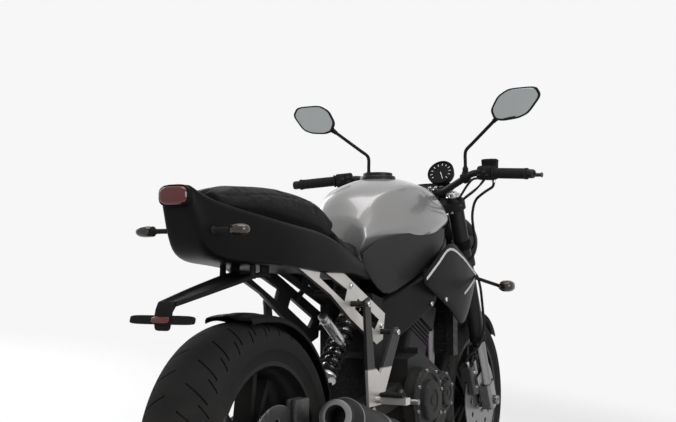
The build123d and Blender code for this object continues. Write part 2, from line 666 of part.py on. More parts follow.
FENDER_Y = 50
PLATE_THICK = 4
PLATE_HOLES = 146
PLATE_HOLE_R = 3.5
PLATE_PLANE = Plane(origin=(-309, 0, 642), x_dir=(0, -1, 0), z_dir=(-0.956, 0, 0.292))
with BuildPart() as rear_fender:
    plate([(60, 742), (20, 748), (-110, 722), (-296, 682), (-300, 668), (-110, 700), (20, 724), (60, 730)],
          FENDER_Y, -FENDER_Y)
    with BuildSketch(PLATE_PLANE) as plate_bracket:
        RectangleRounded(PLATE_HOLES + 26, 20, 9)
        RectangleRounded(44, 44, 6)
    extrude(plate_bracket.sketch, amount=PLATE_THICK)
    with BuildSketch(PLATE_PLANE.offset(-5)) as plate_holes:
        with Locations((-PLATE_HOLES / 2, 0), (PLATE_HOLES / 2, 0)):
            Circle(PLATE_HOLE_R)
    extrude(plate_holes.sketch, amount=20, mode=Mode.SUBTRACT)
    block((-306, -22, 640), (-296, 22, 682))
    for side in (-1, 1):
        low, high = sorted((side * 38, side * FENDER_Y))
        plate([(60, 742), (34, 839.8), (-24, 839.8), (-30, 735)], high, low)

SIGNAL_X = -205
SIGNAL_Z = 838
with BuildPart() as rear_signals:
    rod((SIGNAL_X, 59.2, SIGNAL_Z), (SIGNAL_X, 108, SIGNAL_Z), 6)
    with BuildSketch(Plane(origin=(SIGNAL_X, 106, SIGNAL_Z), z_dir=(0, 1, 0))) as lamp:
        RectangleRounded(44, 28, 12)
    extrude(lamp.sketch, amount=46, taper=10)
    mirror(about=Plane.XZ)

with BuildPart() as front_signals:
    rod((HEAD_X + 40, 174.2, 735), (HEAD_X + 60, 256, 709), 6)
    with BuildSketch(Plane(origin=(HEAD_X + 60, 250, 706), z_dir=(0, 1, 0))) as lamp:
        RectangleRounded(60, 44, 18)
    extrude(lamp.sketch, amount=68, taper=10)
    mirror(about=Plane.XZ)

with BuildPart() as rear_hugger:
    with BuildSketch(side_plane(86)):
        with BuildLine():
            inner = CenterArc((0, REAR_TYRE_R), REAR_TYRE_R + 11, 6, 96)
            outer = CenterArc((0, REAR_TYRE_R), REAR_TYRE_R + 15, 6, 96)
            Line(inner @ 0, outer @ 0)
            Line(inner @ 1, outer @ 1)
        make_face()
    extrude(amount=172)
    block((REAR_TYRE_R + 7, -22, REAR_TYRE_R + 47), (CROSS_X - 0.2, 22, REAR_TYRE_R + 73))

# Rear brake

with BuildPart() as rear_caliper:
    block((62, -ARM_IN + 0.1, REAR_TYRE_R + 37), (132, -84, REAR_TYRE_R + 131))
    disc(0, REAR_TYRE_R, REAR_DISC_R + 4, -REAR_DISC_Y + 2, -REAR_DISC_Y - DISC_THICK - 2, mode=Mode.SUBTRACT)

# Footrests and foot controls

PEG_X = 418
PEG_Z = 408
with BuildPart() as footrests:
    plate([(562, 596), (568, 566), (452, 392), (374, 392), (350, 672), (380, 682), (408, 496), (446, 474),
           (536, 596)], 158, 150)
    for x, z in ((550, 582), (365, 664)):
        rod((x, SUBFRAME_OUT + 0.1, z), (x, 152, z), 8)
    rod((PEG_X, 156, PEG_Z), (PEG_X, 178, PEG_Z), 9)
    block((PEG_X - 14, 176, PEG_Z - 9), (PEG_X + 14, 250, PEG_Z + 9))
    mirror(about=Plane.XZ)

with BuildPart() as foot_controls:
    plate([(430, 424), (446, 420), (596, 392), (596, 380), (440, 402)], 172, 163)
    rod((438, 158.1, 412), (438, 174, 412), 11)
    rod((588, 168, 386), (588, 208, 386), 8)
    mirror(about=Plane.XZ)

# Fuel cap, hinged at its front edge on two lugs of the tank

with BuildPart() as fuel_cap:
    with BuildSketch(Plane.XY.offset(1045.4)):
        with Locations((CAP_X, 0)):
            Circle(CAP_R)
    extrude(amount=CAP_THICK)
    block((CAP_X + CAP_R - 14, -8, 1046.5), (CAP_HINGE[0], 8, 1054.4))
    rod((CAP_HINGE[0], -8, CAP_HINGE[1]), (CAP_HINGE[0], 8, CAP_HINGE[1]), 4.5)
    rod((CAP_HINGE[0], -9, CAP_HINGE[1]), (CAP_HINGE[0], 9, CAP_HINGE[1]), CAP_PIN_R + FIT, mode=Mode.SUBTRACT)

# Steering

YOKE_WALL = 8
BAR = along_fork(UPPER_YOKE + YOKE_THICK + BAR_RISE, -1, 0)


def yoke(s):
    """Clamp plate across the stem and both fork tubes."""
    with BuildSketch(steer_plane(s)) as outline:
        Circle(STEM_R + 12)
        for side in (-1, 1):
            with Locations((FORK_OFFSET, side * FORK_HALF)):
                Circle(UPPER_TUBE_R + YOKE_WALL)
        make_hull()
        for side in (-1, 1):
            with Locations((FORK_OFFSET, side * FORK_HALF)):
                Circle(UPPER_TUBE_R + FIT, mode=Mode.SUBTRACT)
    extrude(outline.sketch, amount=YOKE_THICK)


with BuildPart() as fork_yokes:
    yoke(LOWER_YOKE)
    yoke(UPPER_YOKE)
    rod(along_fork(LOWER_YOKE + 1, 0, 0), along_fork(UPPER_YOKE + YOKE_THICK - 1, 0, 0), STEM_R)
    rod(along_fork(UPPER_YOKE + YOKE_THICK - 1, 0, 0), along_fork(UPPER_YOKE + YOKE_THICK + 5, 0, 0), 18)
    for side in (-1, 1):
        with BuildSketch(steer_plane(UPPER_YOKE + YOKE_THICK - 1)) as riser:
            with Locations((-1, side * 48)):
                RectangleRounded(34, 30, 6)
        extrude(riser.sketch, amount=BAR_RISE + 16.5)
    rod(BAR - Vector(0, 70, 0), BAR + Vector(0, 70, 0), BAR_R + FIT, mode=Mode.SUBTRACT)

with BuildPart() as fork_tubes:
    for side in (-1, 1):
        with BuildSketch(steer_plane(TUBE_LOW)) as face:
            with Locations((FORK_OFFSET, side * FORK_HALF)):
                Circle(UPPER_TUBE_R)
        extrude(face.sketch, amount=TUBE_HIGH - TUBE_LOW)
        with BuildSketch(steer_plane(TUBE_LOW)) as bore:
            with Locations((FORK_OFFSET, side * FORK_HALF)):
                Circle(LOWER_LEG_R + FIT)
        extrude(bore.sketch, amount=LEG_OVERLAP, mode=Mode.SUBTRACT)

LEG_LOW = AXLE_S - 26
PAD_UP = 186
with BuildPart() as fork_legs:
    with BuildSketch(steer_plane(LEG_LOW)) as face:
        with Locations((FORK_OFFSET, FORK_HALF)):
            Circle(LOWER_LEG_R)
    extrude(face.sketch, amount=TUBE_LOW + LEG_OVERLAP - LEG_LOW)
    with BuildSketch(steer_plane(LEG_LOW)) as foot_face:
        with Locations((FORK_OFFSET, (FOOT_IN + FOOT_OUT) / 2)):
            RectangleRounded(56, FOOT_OUT - FOOT_IN, 10)
    extrude(foot_face.sketch, amount=96)
    with BuildSketch(steer_plane(AXLE_S + 96)) as lug:
        with Locations((-6, 103.5)):
            Rectangle(66, 10)
    extrude(lug.sketch, amount=34)
    with BuildSketch(steer_plane(AXLE_S + PAD_UP)) as fender_pad:
        with Locations((FORK_OFFSET, 88)):
            Rectangle(30, 24)
    extrude(fender_pad.sketch, amount=34)
    disc(WHEELBASE, FRONT_TYRE_R, FRONT_AXLE_R + FIT, 200, 0, mode=Mode.SUBTRACT)
    mirror(about=Plane.XZ)

with BuildPart() as front_calipers:
    with BuildSketch(steer_plane(AXLE_S + 71)) as body:
        with Locations((-36, (52 + 98.3) / 2)):
            RectangleRounded(44, 98.3 - 52, 8)
    extrude(body.sketch, amount=104)
    disc(WHEELBASE, FRONT_TYRE_R, FRONT_DISC_R + 5, FRONT_DISC_Y + DISC_THICK + 2.5, FRONT_DISC_Y - 2.5,
         mode=Mode.SUBTRACT)
    mirror(about=Plane.XZ)

FENDER_R = FRONT_TYRE_R + 18
with BuildPart() as front_fender:
    with BuildSketch(side_plane(70)):
        with BuildLine():
            inner = CenterArc((WHEELBASE, FRONT_TYRE_R), FENDER_R, 42, 118)
            outer = CenterArc((WHEELBASE, FRONT_TYRE_R), FENDER_R + 4, 42, 118)
            Line(inner @ 0, outer @ 0)
            Line(inner @ 1, outer @ 1)
        make_face()
    extrude(amount=140)
    for side in (-1, 1):
        with BuildSketch(steer_plane(AXLE_S + PAD_UP)) as ear:
            with Locations((FORK_OFFSET - 4, side * 73.9)):
                Rectangle(44, 4)
        extrude(ear.sketch, amount=FENDER_R + 8 - PAD_UP)
        with BuildSketch(steer_plane(AXLE_S + FENDER_R - 17)) as shelf:
            with Locations((FORK_OFFSET - 4, side * 71)):
                Rectangle(44, 8)
        extrude(shelf.sketch, amount=25)
    disc(WHEELBASE, FRONT_TYRE_R, FENDER_R, 68, -68, mode=Mode.SUBTRACT)

BAR_END = BAR + Vector(-95, 405, 39)
BAR_ELBOW = BAR + Vector(-34, 205, 57)
BAR_KNEE = BAR + Vector(0, 84, 0)
bar_half = [BAR_END, BAR_ELBOW, BAR_KNEE]
with BuildPart() as handlebar:
    tube(bar_half + [Vector(p.X, -p.Y, p.Z) for p in reversed(bar_half)], BAR_R, [70, 60, 60, 70])

bar_way = (BAR_END - BAR_ELBOW).normalized()
with BuildPart() as grips:
    rod(BAR_END - bar_way * GRIP_LENGTH, BAR_END + bar_way * 3, GRIP_R)
    rod(BAR_END + bar_way * 2, BAR_END + bar_way * 24, 14)
    rod(BAR_END - bar_way * (GRIP_LENGTH + 5), BAR_END + bar_way * 0.2, BAR_R + FIT,
        mode=Mode.SUBTRACT)
    mirror(about=Plane.XZ)

POD_OUT = GRIP_LENGTH + 3
POD_WIDE = 56
with BuildPart() as control_pods:
    pod_start = BAR_END - bar_way * (POD_OUT + POD_WIDE)
    rod(pod_start, pod_start + bar_way * POD_WIDE, 22)
    forward = pod_start + bar_way * (POD_WIDE - 17)
    rod(forward, forward + Vector(34, 6, 2), 12)
    rod(forward + Vector(30, 5, -10), forward + Vector(30, 5, 16), 11)
    rod(forward + Vector(8, 0, 8), forward + Vector(8, 0, 30), 8)
    rod(pod_start - bar_way * 5, pod_start + bar_way * (POD_WIDE + 5), BAR_R + FIT, mode=Mode.SUBTRACT)
    mirror(about=Plane.XZ)
    with BuildSketch(Plane(origin=(forward.X + 34, -forward.Y + 10, forward.Z + 19), z_dir=(0, 0, 1))) as cup:
        RectangleRounded(40, 52, 10)
    extrude(cup.sketch, amount=30)
    rod((forward.X + 30, -forward.Y - 5, forward.Z + 10), (forward.X + 32, -forward.Y + 2, forward.Z + 22), 9)

with BuildPart() as levers:
    start = forward + Vector(30, 5, 0)
    tube([start + Vector(11.5, 8, 0), start + Vector(24, 50, -4), start + Vector(2, 150, -10)], 6, 60)
    rod(start + Vector(2, 150, -10), start + Vector(1, 156, -10.4), 8.5)
    mirror(about=Plane.XZ)

MIRROR_HEAD = BAR + Vector(-78, 363, MIRROR_RISE)
MIRROR_CLAMP = 104
MIRROR_ELBOW = 88
mirror_way = (BAR_ELBOW - BAR_KNEE).normalized()
mirror_foot = BAR_KNEE + mirror_way * MIRROR_CLAMP


def mirror_plane(depth):
    """Plane of the mirror's face, looking back, at a depth ahead of the glass."""
    return Plane(origin=MIRROR_HEAD + Vector(depth, 0, 0), x_dir=(0, 1, 0), z_dir=(1, 0, 0))


# sideways and up from the middle of the mirror's face
MIRROR_OUTLINE = [(-84, -16), (-72, -46), (-44, -53), (8, -48), (42, -34), (84, 20), (68, 50), (-22, 50),
                  (-60, 28)]
with BuildPart() as mirrors:
    rod(mirror_foot - mirror_way * 9, mirror_foot + mirror_way * 9, 18)
    tube([mirror_foot, mirror_foot + Vector(0, 0, MIRROR_ELBOW), MIRROR_HEAD + Vector(16, -60, -34)], 6, 24)
    rod(mirror_foot - mirror_way * 20, mirror_foot + mirror_way * 20, BAR_R + FIT, mode=Mode.SUBTRACT)
    with BuildSketch(mirror_plane(0)) as rear_face:
        Polygon(*MIRROR_OUTLINE)
        fillet(rear_face.vertices(), 11)
    extrude(rear_face.sketch, amount=24, taper=14)
    with BuildSketch(mirror_plane(0)) as recess:
        Polygon(*[(0.92 * u, 0.88 * v) for u, v in MIRROR_OUTLINE])
        fillet(recess.vertices(), 9.5)
    extrude(recess.sketch, amount=3, mode=Mode.SUBTRACT)
    mirror(about=Plane.XZ)

with BuildPart() as mirror_glasses:
    with BuildSketch(mirror_plane(0.5)) as glass:
        Polygon(*[(0.91 * u, 0.865 * v) for u, v in MIRROR_OUTLINE])
        fillet(glass.vertices(), 9)
    extrude(glass.sketch, amount=2.5)
    mirror(about=Plane.XZ)

# Brake hoses, as distances up the steering axis, ahead of it and outwards: from a block below the lower
# yoke to both calipers, and to the master cylinder on the right

HOSE_R = 4.5
SPLITTER_S = LOWER_YOKE - 11
CALIPER_TOP_S = AXLE_S + 175
CALIPER_HOSE = [(SPLITTER_S, 43, 14), (SPLITTER_S - 5, 64, 40), (SPLITTER_S - 17, 80, 80),
                (SPLITTER_S - 39, 78, 125), (SPLITTER_S - 79, 50, 141), (SPLITTER_S - 129, 36, 143),
                (TUBE_LOW + 40, 22, 141), (TUBE_LOW - 12, -14, 122), (CALIPER_TOP_S + 34, -36, 80),
                (CALIPER_TOP_S + FIT, -36, 80)]
MASTER_HOSE = [(SPLITTER_S, 50, -8), (SPLITTER_S + 3, 76, -32), (LOWER_YOKE + 24, 92, -92), (900, 68, -142),
               (952, 46, -152), (1020, 42, -156), (1075, 40, -176)]


def hose(points):
    """Hose whose arcs are as large as its runs allow."""
    runs = [b - a for a, b in zip(points, points[1:])]
    radii = [0.45 * min(a.length, b.length) / tan(radians(a.get_angle(b)) / 2) for a, b in zip(runs, runs[1:])]
    tube(points, HOSE_R, radii)


with BuildPart() as brake_hoses:
    hose([along_fork(*place) for place in CALIPER_HOSE])
    mirror(about=Plane.XZ)
    right_pod = Vector(forward.X, -forward.Y, forward.Z)
    up_to_pod = [right_pod + Vector(*step) for step in ((70, 46, -56), (30, -4, -40), (30, -4, -10 - FIT))]
    hose([along_fork(*place) for place in MASTER_HOSE] + up_to_pod)
    with BuildSketch(steer_plane(SPLITTER_S - 11)) as splitter:
        with Locations((43, 0)):
            Rectangle(26, 32)
    extrude(splitter.sketch, amount=21.7)

DISPLAY_X = 92
with BuildPart() as display:
    with BuildSketch(steer_plane(UPPER_YOKE + YOKE_THICK + 8)):
        with Locations((DISPLAY_X, 0)):
            RectangleRounded(96, 150, 12)
    extrude(amount=18)
    with BuildSketch(steer_plane(UPPER_YOKE + YOKE_THICK)):
        with Locations((FORK_OFFSET + 14, -40), (FORK_OFFSET + 14, 40)):
            Circle(9)
    extrude(amount=10)

LAMP_S = 887.2
LAMP_AHEAD = 96
LAMP = along_fork(LAMP_S, FORK_OFFSET + LAMP_AHEAD, 0)
LAMP_R = 98
# distance ahead of the lamp's bolts and radius, outside then inside
LAMP_BOWL = [(-46, 0), (-46, 32), (-26, 64), (6, 90), (34, LAMP_R), (62, LAMP_R), (62, LAMP_R - 4),
             (34, LAMP_R - 4), (8, 85), (-20, 61), (-40, 30), (-40, 0)]
LAMP_LENS = [(52, 0), (52, LAMP_R - 4.3), (61, LAMP_R - 4.3), (68, 60), (71, 0)]
LAMP_ARM = [(-74, 0), (-60, -18), (12, -18), (12, 18), (-70, 22)]
with BuildPart() as headlight_shell:
    with BuildSketch(Plane.XZ) as bowl:
        Polygon(*[(LAMP.X + x, LAMP.Z + radius) for x, radius in LAMP_BOWL])
    revolve(bowl.sketch, axis=Axis((0, 0, LAMP.Z), (1, 0, 0)))
    for side in (-1, 1):
        with BuildSketch(steer_plane(LAMP_S + 19)) as clamp:
            with Locations((FORK_OFFSET, side * FORK_HALF)):
                Circle(UPPER_TUBE_R + 6)
                Circle(UPPER_TUBE_R + FIT, mode=Mode.SUBTRACT)
        extrude(clamp.sketch, amount=28)
        low, high = sorted((side * 99, side * 106))
        plate([(LAMP.X + x, LAMP.Z + z) for x, z in LAMP_ARM], high, low)
        low, high = sorted((side * 82, side * 106))
        disc(LAMP.X, LAMP.Z, 10, high, low)

with BuildPart() as headlight_lens:
    with BuildSketch(Plane.XZ) as lens:
        Polygon(*[(LAMP.X + x, LAMP.Z + radius) for x, radius in LAMP_LENS])
    revolve(lens.sketch, axis=Axis((0, 0, LAMP.Z), (1, 0, 0)))

# Side stand, drawn with its leg out and its shoe flat on the ground


def lowest(half, radius, drop):
    """Height of the lowest point of a leaning tyre that stood on the ground upright."""
    lean = radians(LEAN)
    reaches = [r * cos(lean) + across * sin(lean) for across, r in crown(half, radius, drop)]
    return radius * cos(lean) - max(reaches)


rear_low = lowest(REAR_TYRE_HALF, REAR_TYRE_R, REAR_CROWN_DROP)
front_low = lowest(FRONT_TYRE_HALF, FRONT_TYRE_R, FRONT_CROWN_DROP)
nose_down = degrees(atan((front_low - rear_low) / WHEELBASE))
LEANED = Location((0, 0, -rear_low), (0, nose_down, 0)) * Location((0, 0, 0), (-LEAN, 0, 0))
ground = Plane(LEANED.inverse())


def on_ground(x, y):
    """Point of the ground below a point of the upright machine."""
    normal = ground.z_dir
    z = (ground.origin.dot(normal) - x * normal.X - y * normal.Y) / normal.Z
    return Vector(x, y, z)


with BuildPart() as side_stand:
    shoe = on_ground(*STAND_SHOE)
    shoe_plane = Plane(origin=shoe, x_dir=Vector(1, 0, 0) - ground.z_dir * ground.z_dir.X, z_dir=ground.z_dir)
    with BuildSketch(shoe_plane):
        RectangleRounded(64, 44, 12)
    extrude(amount=SHOE_THICK)
    heel = shoe + ground.z_dir * (SHOE_THICK - 1)
    rod(STAND_PIVOT, heel, STAND_LEG_R)
    with BuildSketch(Plane(origin=shoe, z_dir=ground.z_dir)) as under:
        Rectangle(200, 200)
    extrude(under.sketch, amount=-60, mode=Mode.SUBTRACT)
    eye = Vector(STAND_PIVOT)
    with BuildSketch(Plane(origin=eye - STAND_AXIS * 30, z_dir=STAND_AXIS)) as cheeks:
        Circle(STAND_EYE_R + 8)
    extrude(cheeks.sketch, amount=30 - STAND_EYE_HALF, mode=Mode.SUBTRACT)
    with BuildSketch(Plane(origin=eye + STAND_AXIS * STAND_EYE_HALF, z_dir=STAND_AXIS)) as cheeks:
        Circle(STAND_EYE_R + 8)
    extrude(cheeks.sketch, amount=30, mode=Mode.SUBTRACT)
    rod(eye - STAND_AXIS * STAND_EYE_HALF, eye + STAND_AXIS * STAND_EYE_HALF, STAND_EYE_R)
    rod(eye - STAND_AXIS * 30, eye + STAND_AXIS * 30, STAND_PIN_R + FIT, mode=Mode.SUBTRACT)

# Each piece, by the name of its node
PIECES = {
    "main_frame": main_frame,
    "subframe": subframe,
    "swingarm": swingarm,
    "pivot_pin": pivot_pin,
    "shock_absorber": shock_absorber,
    "crankcase": crankcase,
    "cylinder_block": cylinder_block,
    "engine_covers": engine_covers,
    "exhaust_headers": exhaust_headers,
    "muffler": muffler,
    "radiator": radiator,
    "radiator_shrouds": radiator_shrouds,
    "fuel_tank": fuel_tank,
    "side_covers": side_covers,
    "rider_seat": rider_seat,
    "pillion_seat": pillion_seat,
    "tail_cowl": tail_cowl,
    "tail_light": tail_light,
    "rear_fender": rear_fender,
    "rear_signals": rear_signals,
    "front_signals": front_signals,
    "rear_hugger": rear_hugger,
    "rear_caliper": rear_caliper,
    "rear_axle": rear_axle,
    "drive_chain": drive_chain,
    "footrests": footrests,
    "foot_controls": foot_controls,
    "fuel_cap": fuel_cap,
    "side_stand": side_stand,
    "fork_yokes": fork_yokes,
    "fork_tubes": fork_tubes,
    "fork_legs": fork_legs,
    "front_axle": front_axle,
    "front_calipers": front_calipers,
    "front_fender": front_fender,
    "handlebar": handlebar,
    "grips": grips,
    "control_pods": control_pods,
    "levers": levers,
    "brake_hoses": brake_hoses,
    "mirrors": mirrors,
    "mirror_glasses": mirror_glasses,
    "display": display,
    "headlight_shell": headlight_shell,
    "headlight_lens": headlight_lens,
    "front_tyre": front_tyre,
    "front_rim": front_rim,
    "front_discs": front_discs,
    "rear_tyre": rear_tyre,
    "rear_rim": rear_rim,
    "rear_sprocket": rear_sprocket,
    "rear_disc": rear_disc,
}

leaned = Compound(children=[LEANED * piece.part for piece in PIECES.values()]).bounding_box()
CENTRE = Location((-(leaned.min.X + leaned.max.X) / 2, -(leaned.min.Y + leaned.max.Y) / 2, 0))
PARK = CENTRE * LEANED

os.makedirs("parts", exist_ok=True)
for name, piece in PIECES.items():
    parked = PARK * piece.part
    parked.label = name
    export_step(parked, "parts/" + name + ".step")
    print(name, len(parked.solids()), round(parked.volume))
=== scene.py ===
# %% [markdown]
# # A standard motorcycle, dressed over its frame
# The frame is the machine as it was engineered: every tube, casting and wheel at its real size, leaning on its
# side stand. This lesson dresses it. It keeps the engineered pieces whose shape is already right and gives them a
# finish, and it models the sheet metal, the seats, the tread and the small fittings anew.

# %% Load the frame
import json
from math import atan2, cos, degrees, exp, pi, radians, sin, sqrt

import bmesh
import bpy
from mathutils import Matrix, Vector
from mathutils.bvhtree import BVHTree
from mathutils.kdtree import KDTree


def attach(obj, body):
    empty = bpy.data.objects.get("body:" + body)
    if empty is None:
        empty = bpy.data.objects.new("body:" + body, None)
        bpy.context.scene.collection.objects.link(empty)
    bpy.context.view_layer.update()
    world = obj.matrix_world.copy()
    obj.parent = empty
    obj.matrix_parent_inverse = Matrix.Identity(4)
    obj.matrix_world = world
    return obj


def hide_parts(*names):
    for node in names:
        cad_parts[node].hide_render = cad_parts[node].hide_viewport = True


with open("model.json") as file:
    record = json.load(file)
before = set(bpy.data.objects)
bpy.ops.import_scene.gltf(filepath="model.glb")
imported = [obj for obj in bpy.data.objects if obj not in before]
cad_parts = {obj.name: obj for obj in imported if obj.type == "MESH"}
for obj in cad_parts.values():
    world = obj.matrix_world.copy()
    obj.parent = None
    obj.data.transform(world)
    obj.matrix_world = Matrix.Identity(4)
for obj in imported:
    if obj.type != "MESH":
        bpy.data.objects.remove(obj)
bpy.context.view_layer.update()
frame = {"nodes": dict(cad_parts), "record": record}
nodes = frame["nodes"]

# %% [markdown]
# The machine leans eight degrees on its stand and its smaller front wheel tips it forward a little. Modelling in
# that leaning space would be awkward, so every new piece is drawn on an upright machine, with the ground under the
# rear axle as its zero, and is then carried over by one matrix. The matrix comes from the two axles, whose places
# the record gives as mounts, so it follows the frame if the frame changes.

# %% The upright machine and how it leans
MM = 0.001
REAR_R = 315
FRONT_R = 300
mounts = {row["name"]: row for row in frame["record"]["mounts"]}
rear_axle = Vector(mounts["rear_axle_bore"]["pos_m"])
front_axle = Vector(mounts["front_axle_bore"]["pos_m"])
leftward = Vector(mounts["rear_axle_bore"]["axis"])
WHEELBASE = sqrt(((front_axle - rear_axle).length / MM) ** 2 - (REAR_R - FRONT_R) ** 2)


def directions(forward, left):
    """Turning matrix whose columns point forward, left and up."""
    forward = forward.normalized()
    return Matrix((forward, left, forward.cross(left))).transposed()


parked = directions(front_axle - rear_axle, leftward)
drawn = directions(Vector((WHEELBASE, 0, FRONT_R - REAR_R)), Vector((0, 1, 0)))
PARK = Matrix.Translation(rear_axle) @ (parked @ drawn.transposed()).to_4x4() @ Matrix.Translation((0, 0, -REAR_R * MM))
print("wheelbase", round(WHEELBASE), "mm, leaning", round(degrees(atan2(-leftward.z, leftward.y)), 1), "degrees")

# %% [markdown]
# Studio first. The photograph looks from behind the right side, about mirror height, slightly upward, and its
# machine stands upright. The camera is therefore placed in the upright space and leans with the machine, so that
# the machine looks as upright as it does there. The lamps are large and soft, as a showroom's are.

# %% Camera and lamps
EYE = (-2.075, -1.356, 0.730)
LOOK_YAW = radians(27.8)
LOOK_UP = radians(3.8)
LENS = 54.5
LAMPS = {  # place, height that it looks at, width, watts
    "lamp_high": ((-0.4, -0.3, 3.4), 0.6, 3.0, 75), "lamp_right": ((-1.4, -3.4, 1.9), 0.7, 2.6, 85),
    "lamp_left": ((1.0, 3.4, 2.0), 0.7, 2.6, 60), "lamp_rear": ((-3.6, 0.6, 1.8), 0.7, 2.0, 40)}

bpy.ops.object.camera_add()
camera = bpy.context.object
camera.name = "camera"
look = Vector((cos(LOOK_YAW) * cos(LOOK_UP), sin(LOOK_YAW) * cos(LOOK_UP), sin(LOOK_UP)))
camera.matrix_world = PARK @ Matrix.Translation(EYE) @ look.to_track_quat("-Z", "Y").to_matrix().to_4x4()
camera.data.lens = LENS
camera.data.sensor_width = 36
bpy.context.scene.camera = camera

for name, (place, height, width, watts) in LAMPS.items():
    bpy.ops.object.light_add(type="AREA", location=place)
    lamp = bpy.context.object
    lamp.name = name
    lamp.data.shape = "RECTANGLE"
    lamp.data.size = width
    lamp.data.size_y = width * 0.7
    lamp.data.energy = watts
    lamp.rotation_euler = (Vector((0, 0, height)) - Vector(place)).to_track_quat("-Z", "Y").to_euler()
bpy.data.objects["lamp_rear"].visible_glossy = False
print("studio:", len(LAMPS), "lamps, lens", LENS, "mm")

# %% [markdown]
# Materials are trees of nodes, and the floor needs the first one. A few helpers keep them readable: a node is added
# with its options and with what each of its sockets gets, which is a value or another node's output.

# %% Helpers for shader nodes
def feed(tree, node, sockets):
    """Each named or numbered socket gets a value, or a link from another node's output."""
    for label, value in sockets.items():
        if isinstance(value, bpy.types.NodeSocket):
            tree.links.new(value, node.inputs[label])
        else:
            node.inputs[label].default_value = value


def add(tree, kind, sockets, out=0, **options):
    """New node, of which one output is given back."""
    node = tree.nodes.new("ShaderNode" + kind)
    for label, value in options.items():
        setattr(node, label, value)
    feed(tree, node, sockets)
    return node.outputs[out]


def spot_on(tree):
    return add(tree, "TexCoord", {}, "Object")


def smooth_step(tree, value, low, high):
    """From 0 at low to 1 at high, softly."""
    return add(tree, "MapRange", {"Value": value, "From Min": low, "From Max": high}, interpolation_type="SMOOTHSTEP")


def between(tree, share, low, high):
    return add(tree, "MapRange", {"Value": share, "To Min": low, "To Max": high})


def reckon(tree, operation, *values):
    return add(tree, "Math", dict(enumerate(values)), operation=operation)


def mix_colour(tree, share, first, second):
    return add(tree, "Mix", {"Factor": share, "A": first, "B": second}, "Result", data_type="RGBA")


def new_material(name):
    """Material, its tree and its shader."""
    material = bpy.data.materials.new(name)
    material.use_nodes = True
    return material, material.node_tree, material.node_tree.nodes["Principled BSDF"]


print("helpers for nodes: feed, add, smooth_step, between, reckon, mix_colour")

# %% [markdown]
# The floor keeps the machine's shadow. Further out it melts into the backdrop, which is plain white for every ray
# that is seen, directly, in a reflection or through a lens, while the light on the machine stays at a plain level.

# %% Floor and backdrop
WHITE = (0.93, 0.93, 0.93, 1)
FLOOR_FADE = (1.6, 3.6)  # metres from the machine


def looked_at(tree):
    """One for the rays that are seen."""
    seen = tree.nodes.new("ShaderNodeLightPath").outputs
    return reckon(tree, "MAXIMUM", reckon(tree, "MAXIMUM", seen["Is Camera Ray"], seen["Is Glossy Ray"]),
                  seen["Is Transmission Ray"])


def crossfade(tree, share, first, second, output):
    feed(tree, tree.nodes[output], {"Surface": add(tree, "MixShader", {"Fac": share, 1: first, 2: second})})


paint, tree, shader = new_material("floor_paint")
feed(tree, shader, {"Base Color": (0.8, 0.8, 0.8, 1), "Roughness": 0.8})
away = smooth_step(tree, add(tree, "VectorMath", {0: spot_on(tree)}, "Value", operation="LENGTH"), *FLOOR_FADE)
crossfade(tree, reckon(tree, "MULTIPLY", away, looked_at(tree)), shader.outputs[0],
          add(tree, "Emission", {"Color": WHITE}), "Material Output")
bpy.ops.mesh.primitive_plane_add(size=60)
floor = bpy.context.object
floor.name = "floor"
floor.data.materials.append(paint)

world = bpy.data.worlds.new("showroom")
bpy.context.scene.world = world
world.use_nodes = True
tree = world.node_tree
feed(tree, tree.nodes["Background"], {"Color": (0.9, 0.9, 0.9, 1), "Strength": 0.45})
crossfade(tree, looked_at(tree), tree.nodes["Background"].outputs[0], add(tree, "Background", {"Color": WHITE}),
          "World Output")
bpy.context.scene.view_settings.view_transform = "Standard"
print("floor fades from", FLOOR_FADE[0], "to", FLOOR_FADE[1], "m")

# %% [markdown]
# ## Finishes
# A machine like this has few colours and many surfaces: metallic lacquer, semi-gloss plastic, cast and machined
# alloy, rubber, vinyl. What they share is made once as node groups. One gives the fine grain that breaks up every
# reflection, one finds the worn edges, and one lays the thin road dust that settles low down. Each finish then
# places the groups in its own material with its own values, so the same grain can be orange peel or cast skin.

# %% Node groups for grain, wear and dust
def new_group(name, inputs, outputs):
    """Shader group with named numbers going in and out. Gives the group, what goes in, and its last node."""
    group = bpy.data.node_groups.new(name, "ShaderNodeTree")
    for label, value in inputs.items():
        group.interface.new_socket(label, in_out="INPUT", socket_type="NodeSocketFloat").default_value = value
    for label in outputs:
        group.interface.new_socket(label, in_out="OUTPUT", socket_type="NodeSocketFloat")
    return group, group.nodes.new("NodeGroupInput").outputs, group.nodes.new("NodeGroupOutput")


def noise(tree, scale, detail, rough=0.5):
    return add(tree, "TexNoise", {"Vector": spot_on(tree), "Scale": scale, "Detail": detail, "Roughness": rough})


GRAIN, given, out = new_group("fine_grain", {"Size": 600.0, "Blotch": 9.0}, ["Grain", "Patches"])
feed(GRAIN, out, {"Grain": noise(GRAIN, given["Size"], 3.0), "Patches": noise(GRAIN, given["Blotch"], 5.0, 0.6)})

WEAR, given, out = new_group("worn_edges", {"Reach": 0.06}, ["Mask"])
edge = smooth_step(WEAR, add(WEAR, "NewGeometry", {}, "Pointiness"), 0.54, 0.62)
chipped = reckon(WEAR, "MULTIPLY", edge, smooth_step(WEAR, noise(WEAR, 140.0, 6.0), 0.48, 0.62))
feed(WEAR, out, {"Mask": reckon(WEAR, "MULTIPLY", chipped, given["Reach"])})

